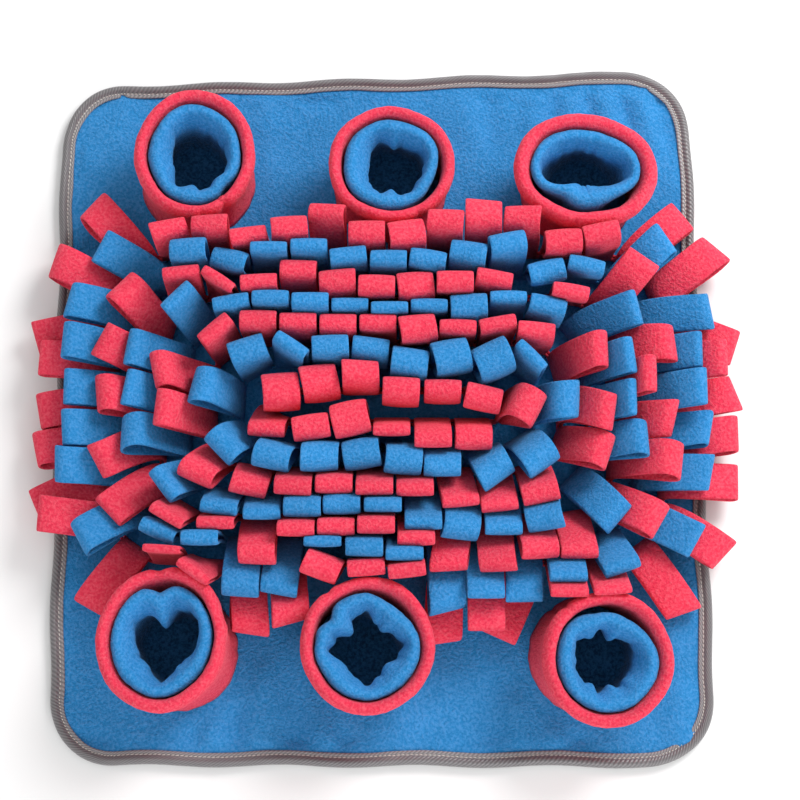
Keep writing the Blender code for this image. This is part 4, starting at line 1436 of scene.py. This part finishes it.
def place_loops(settings):
    """Settle every ring's loops, from the outermost ring inwards, between the cups."""
    sizes, panel = settings.fringe, settings.panel
    placed = {}
    for cup in CUPS:
        middle = Vector((cup.base_x, cup.base_y, 0))
        placed[cup.name] = (middle, as_tree(plain_tube(settings, cup)))
    for ring in RINGS:
        placed[ring.number] = (None, as_tree(plain_strip(settings, ring)))
    fringe = []
    for ring in RINGS:
        settled = []
        # Those that swing most come last, so they lie across the others.
        for loop in sorted(draw_loops(sizes, ring), key=lambda each: abs(each["swing"])):
            if settle(sizes, panel, loop, placed):
                settled.append(loop)
                tree = as_tree(loop_skin(sizes, panel, loop, 0.0))
                placed[loop["name"]] = (loop["root"], tree)
        settled.sort(key=lambda each: each["from"])
        fringe.append((ring, settled))
    relax(sizes, panel, [loop for _, loops in fringe for loop in loops], placed)
    return fringe


def add_strip_foot(bm, verts, low):
    """Draw a root's edge down to the sewing line, and give back its end edges, left and right."""
    known = set(verts)
    edges = {edge for vert in verts for edge in vert.link_edges if set(edge.verts) <= known}
    made = bmesh.ops.extrude_edge_only(bm, edges=list(edges))["geom"]
    foot = [item for item in made if isinstance(item, bmesh.types.BMVert)]
    for vert in foot:
        vert.co.z = low
    corners = (verts[0], verts[-1])
    return [edge for end in corners for edge in end.link_edges if edge.other_vert(end) in foot]


def build_ring(settings, ring, loops):
    """One ring: a doubled strip, sewn down all the way round, that is slit into its loops."""
    sizes, panel = settings.fringe, settings.panel
    low = panel.thickness + AIR
    last = len(ACROSS) - 1
    bm = bmesh.new()
    feet = {0: [], PATH_ROWS - 1: []}  # of the lower and the upper layer
    for loop in loops:
        surface = loop_surface(sizes, panel, loop, 0.0, 0.0)

        def place(column, row):
            return surface(column, ACROSS[row])

        made = grid(bm, PATH_ROWS - 1, last, place, [loop["tone"]] * len(ACROSS))
        for column, ends in feet.items():
            root = [made[column, row] for row in range(len(ACROSS))]
            ends.append(add_strip_foot(bm, root, low))
    for ends in feet.values():
        for (_, right), (left, _) in zip(ends, ends[1:] + ends[:1]):
            bmesh.ops.bridge_loops(bm, edges=[right, left])
    bmesh.ops.recalc_face_normals(bm, faces=bm.faces)
    name = f"fringe_{ring.colour}_{ring.number}"
    solid = f"fringe_ring_{ring.number}"
    obj = add_piece(name, bm, fleece_named(ring.colour), [solid])
    thicken(obj, sizes.fleece, 1)
    return obj


# ---------------------------------------------------------------- operators


class SNUFFLE_OT_panel(bpy.types.Operator):
    """Sew the padded panel, its folded edge tape and the tape's row of stitches"""

    bl_idname = "snuffle.panel"
    bl_label = "Panel and Tape"

    def execute(self, context):
        settings = context.scene.snuffle_mat
        panel = build_panel(settings)
        tape = build_tape(settings)
        stitches = build_stitches(settings)
        return {"FINISHED"}


class SNUFFLE_OT_cups(bpy.types.Operator):
    """Make the six cups, each a doubled red tube round a blue pocket"""

    bl_idname = "snuffle.cups"
    bl_label = "Cups"

    def execute(self, context):
        settings = context.scene.snuffle_mat
        for cup in CUPS:
            tube = build_tube(settings, cup)
            pocket = build_pocket(settings, cup)
        return {"FINISHED"}


class SNUFFLE_OT_fringe(bpy.types.Operator):
    """Cut, sew and settle the seven rings of looped fringe"""

    bl_idname = "snuffle.fringe"
    bl_label = "Fringe"

    def execute(self, context):
        settings = context.scene.snuffle_mat
        for ring, loops in place_loops(settings):
            if not loops:
                raise RuntimeError(f"ring {ring.number} has no loops")
            build_ring(settings, ring, loops)
        return {"FINISHED"}


def lay_floor(scene):
    bm = bmesh.new()
    bmesh.ops.create_grid(bm, x_segments=4, y_segments=4, size=FLOOR_HALF)
    bmesh.ops.translate(bm, verts=bm.verts, vec=(0, 0, -FLOOR_DROP))
    mesh = bpy.data.meshes.new("floor")
    bm.to_mesh(mesh)
    bm.free()
    mesh.materials.append(finish_named("matt_studio_paper"))
    floor = bpy.data.objects.new("floor", mesh)
    scene.collection.objects.link(floor)


def aim(scene, name, data, place, target):
    """Put a lamp or a camera at this place, turned to its target."""
    obj = bpy.data.objects.new(name, data)
    obj.location = place
    way = Vector(target) - Vector(place)
    obj.rotation_euler = way.to_track_quat("-Z", "Y").to_euler()
    scene.collection.objects.link(obj)
    return obj


class SNUFFLE_OT_stage(bpy.types.Operator):
    """Lay the pale floor, hang the studio light and set the camera"""

    bl_idname = "snuffle.stage"
    bl_label = "Floor, Light and Camera"

    def execute(self, context):
        scene = context.scene
        light = scene.snuffle_mat.light
        lay_floor(scene)

        world = bpy.data.worlds.new("studio")
        world.use_nodes = True
        sky = world.node_tree.nodes["Background"]
        sky.inputs["Color"].default_value = (1, 1, 1, 1)
        sky.inputs["Strength"].default_value = light.sky
        scene.world = world

        for name, place, size, power in (
            ("key", KEY_PLACE, KEY_SIZE, light.key),
            ("fill", FILL_PLACE, FILL_SIZE, light.key * FILL_SHARE),
        ):
            lamp = bpy.data.lights.new(name, "AREA")
            lamp.shape = "DISK"
            lamp.size = size
            lamp.energy = power
            aim(scene, name, lamp, place, (0, 0, 0))

        lens = bpy.data.cameras.new("camera")
        lens.lens = CAMERA_LENS
        lens.sensor_width = SENSOR
        scene.camera = aim(scene, "camera", lens, CAMERA_PLACE, CAMERA_TARGET)
        scene.view_settings.view_transform = "Standard"
        return {"FINISHED"}


class SNUFFLE_PT_sidebar(bpy.types.Panel):
    """Sizes, colours and steps of the snuffle mat"""

    bl_idname = "SNUFFLE_PT_sidebar"
    bl_label = "Snuffle Mat"
    bl_space_type = "VIEW_3D"
    bl_region_type = "UI"
    bl_category = "Snuffle Mat"

    def draw(self, context):
        settings = context.scene.snuffle_mat
        for title in ("panel", "cups", "fringe", "colours", "light"):
            group = getattr(settings, title)
            box = self.layout.box()
            box.label(text=title.capitalize())
            for name in group.bl_rna.properties.keys():
                if name not in ("rna_type", "name"):
                    box.prop(group, name)
        for operator in OPERATORS:
            self.layout.operator(operator.bl_idname)


OPERATORS = (SNUFFLE_OT_panel, SNUFFLE_OT_cups, SNUFFLE_OT_fringe, SNUFFLE_OT_stage)
CLASSES = (
    PanelSizes,
    CupSizes,
    FringeSizes,
    ClothColours,
    StageLight,
    MatSettings,
    *OPERATORS,
    SNUFFLE_PT_sidebar,
)


def register():
    for each in CLASSES:
        bpy.utils.register_class(each)
    bpy.types.Scene.snuffle_mat = PointerProperty(type=MatSettings)


def unregister():
    del bpy.types.Scene.snuffle_mat
    for each in reversed(CLASSES):
        bpy.utils.unregister_class(each)


def main():
    register()
    bpy.ops.snuffle.panel()
    bpy.ops.snuffle.cups()
    bpy.ops.snuffle.fringe()
    bpy.ops.snuffle.stage()


if __name__ == "__main__":
    main()
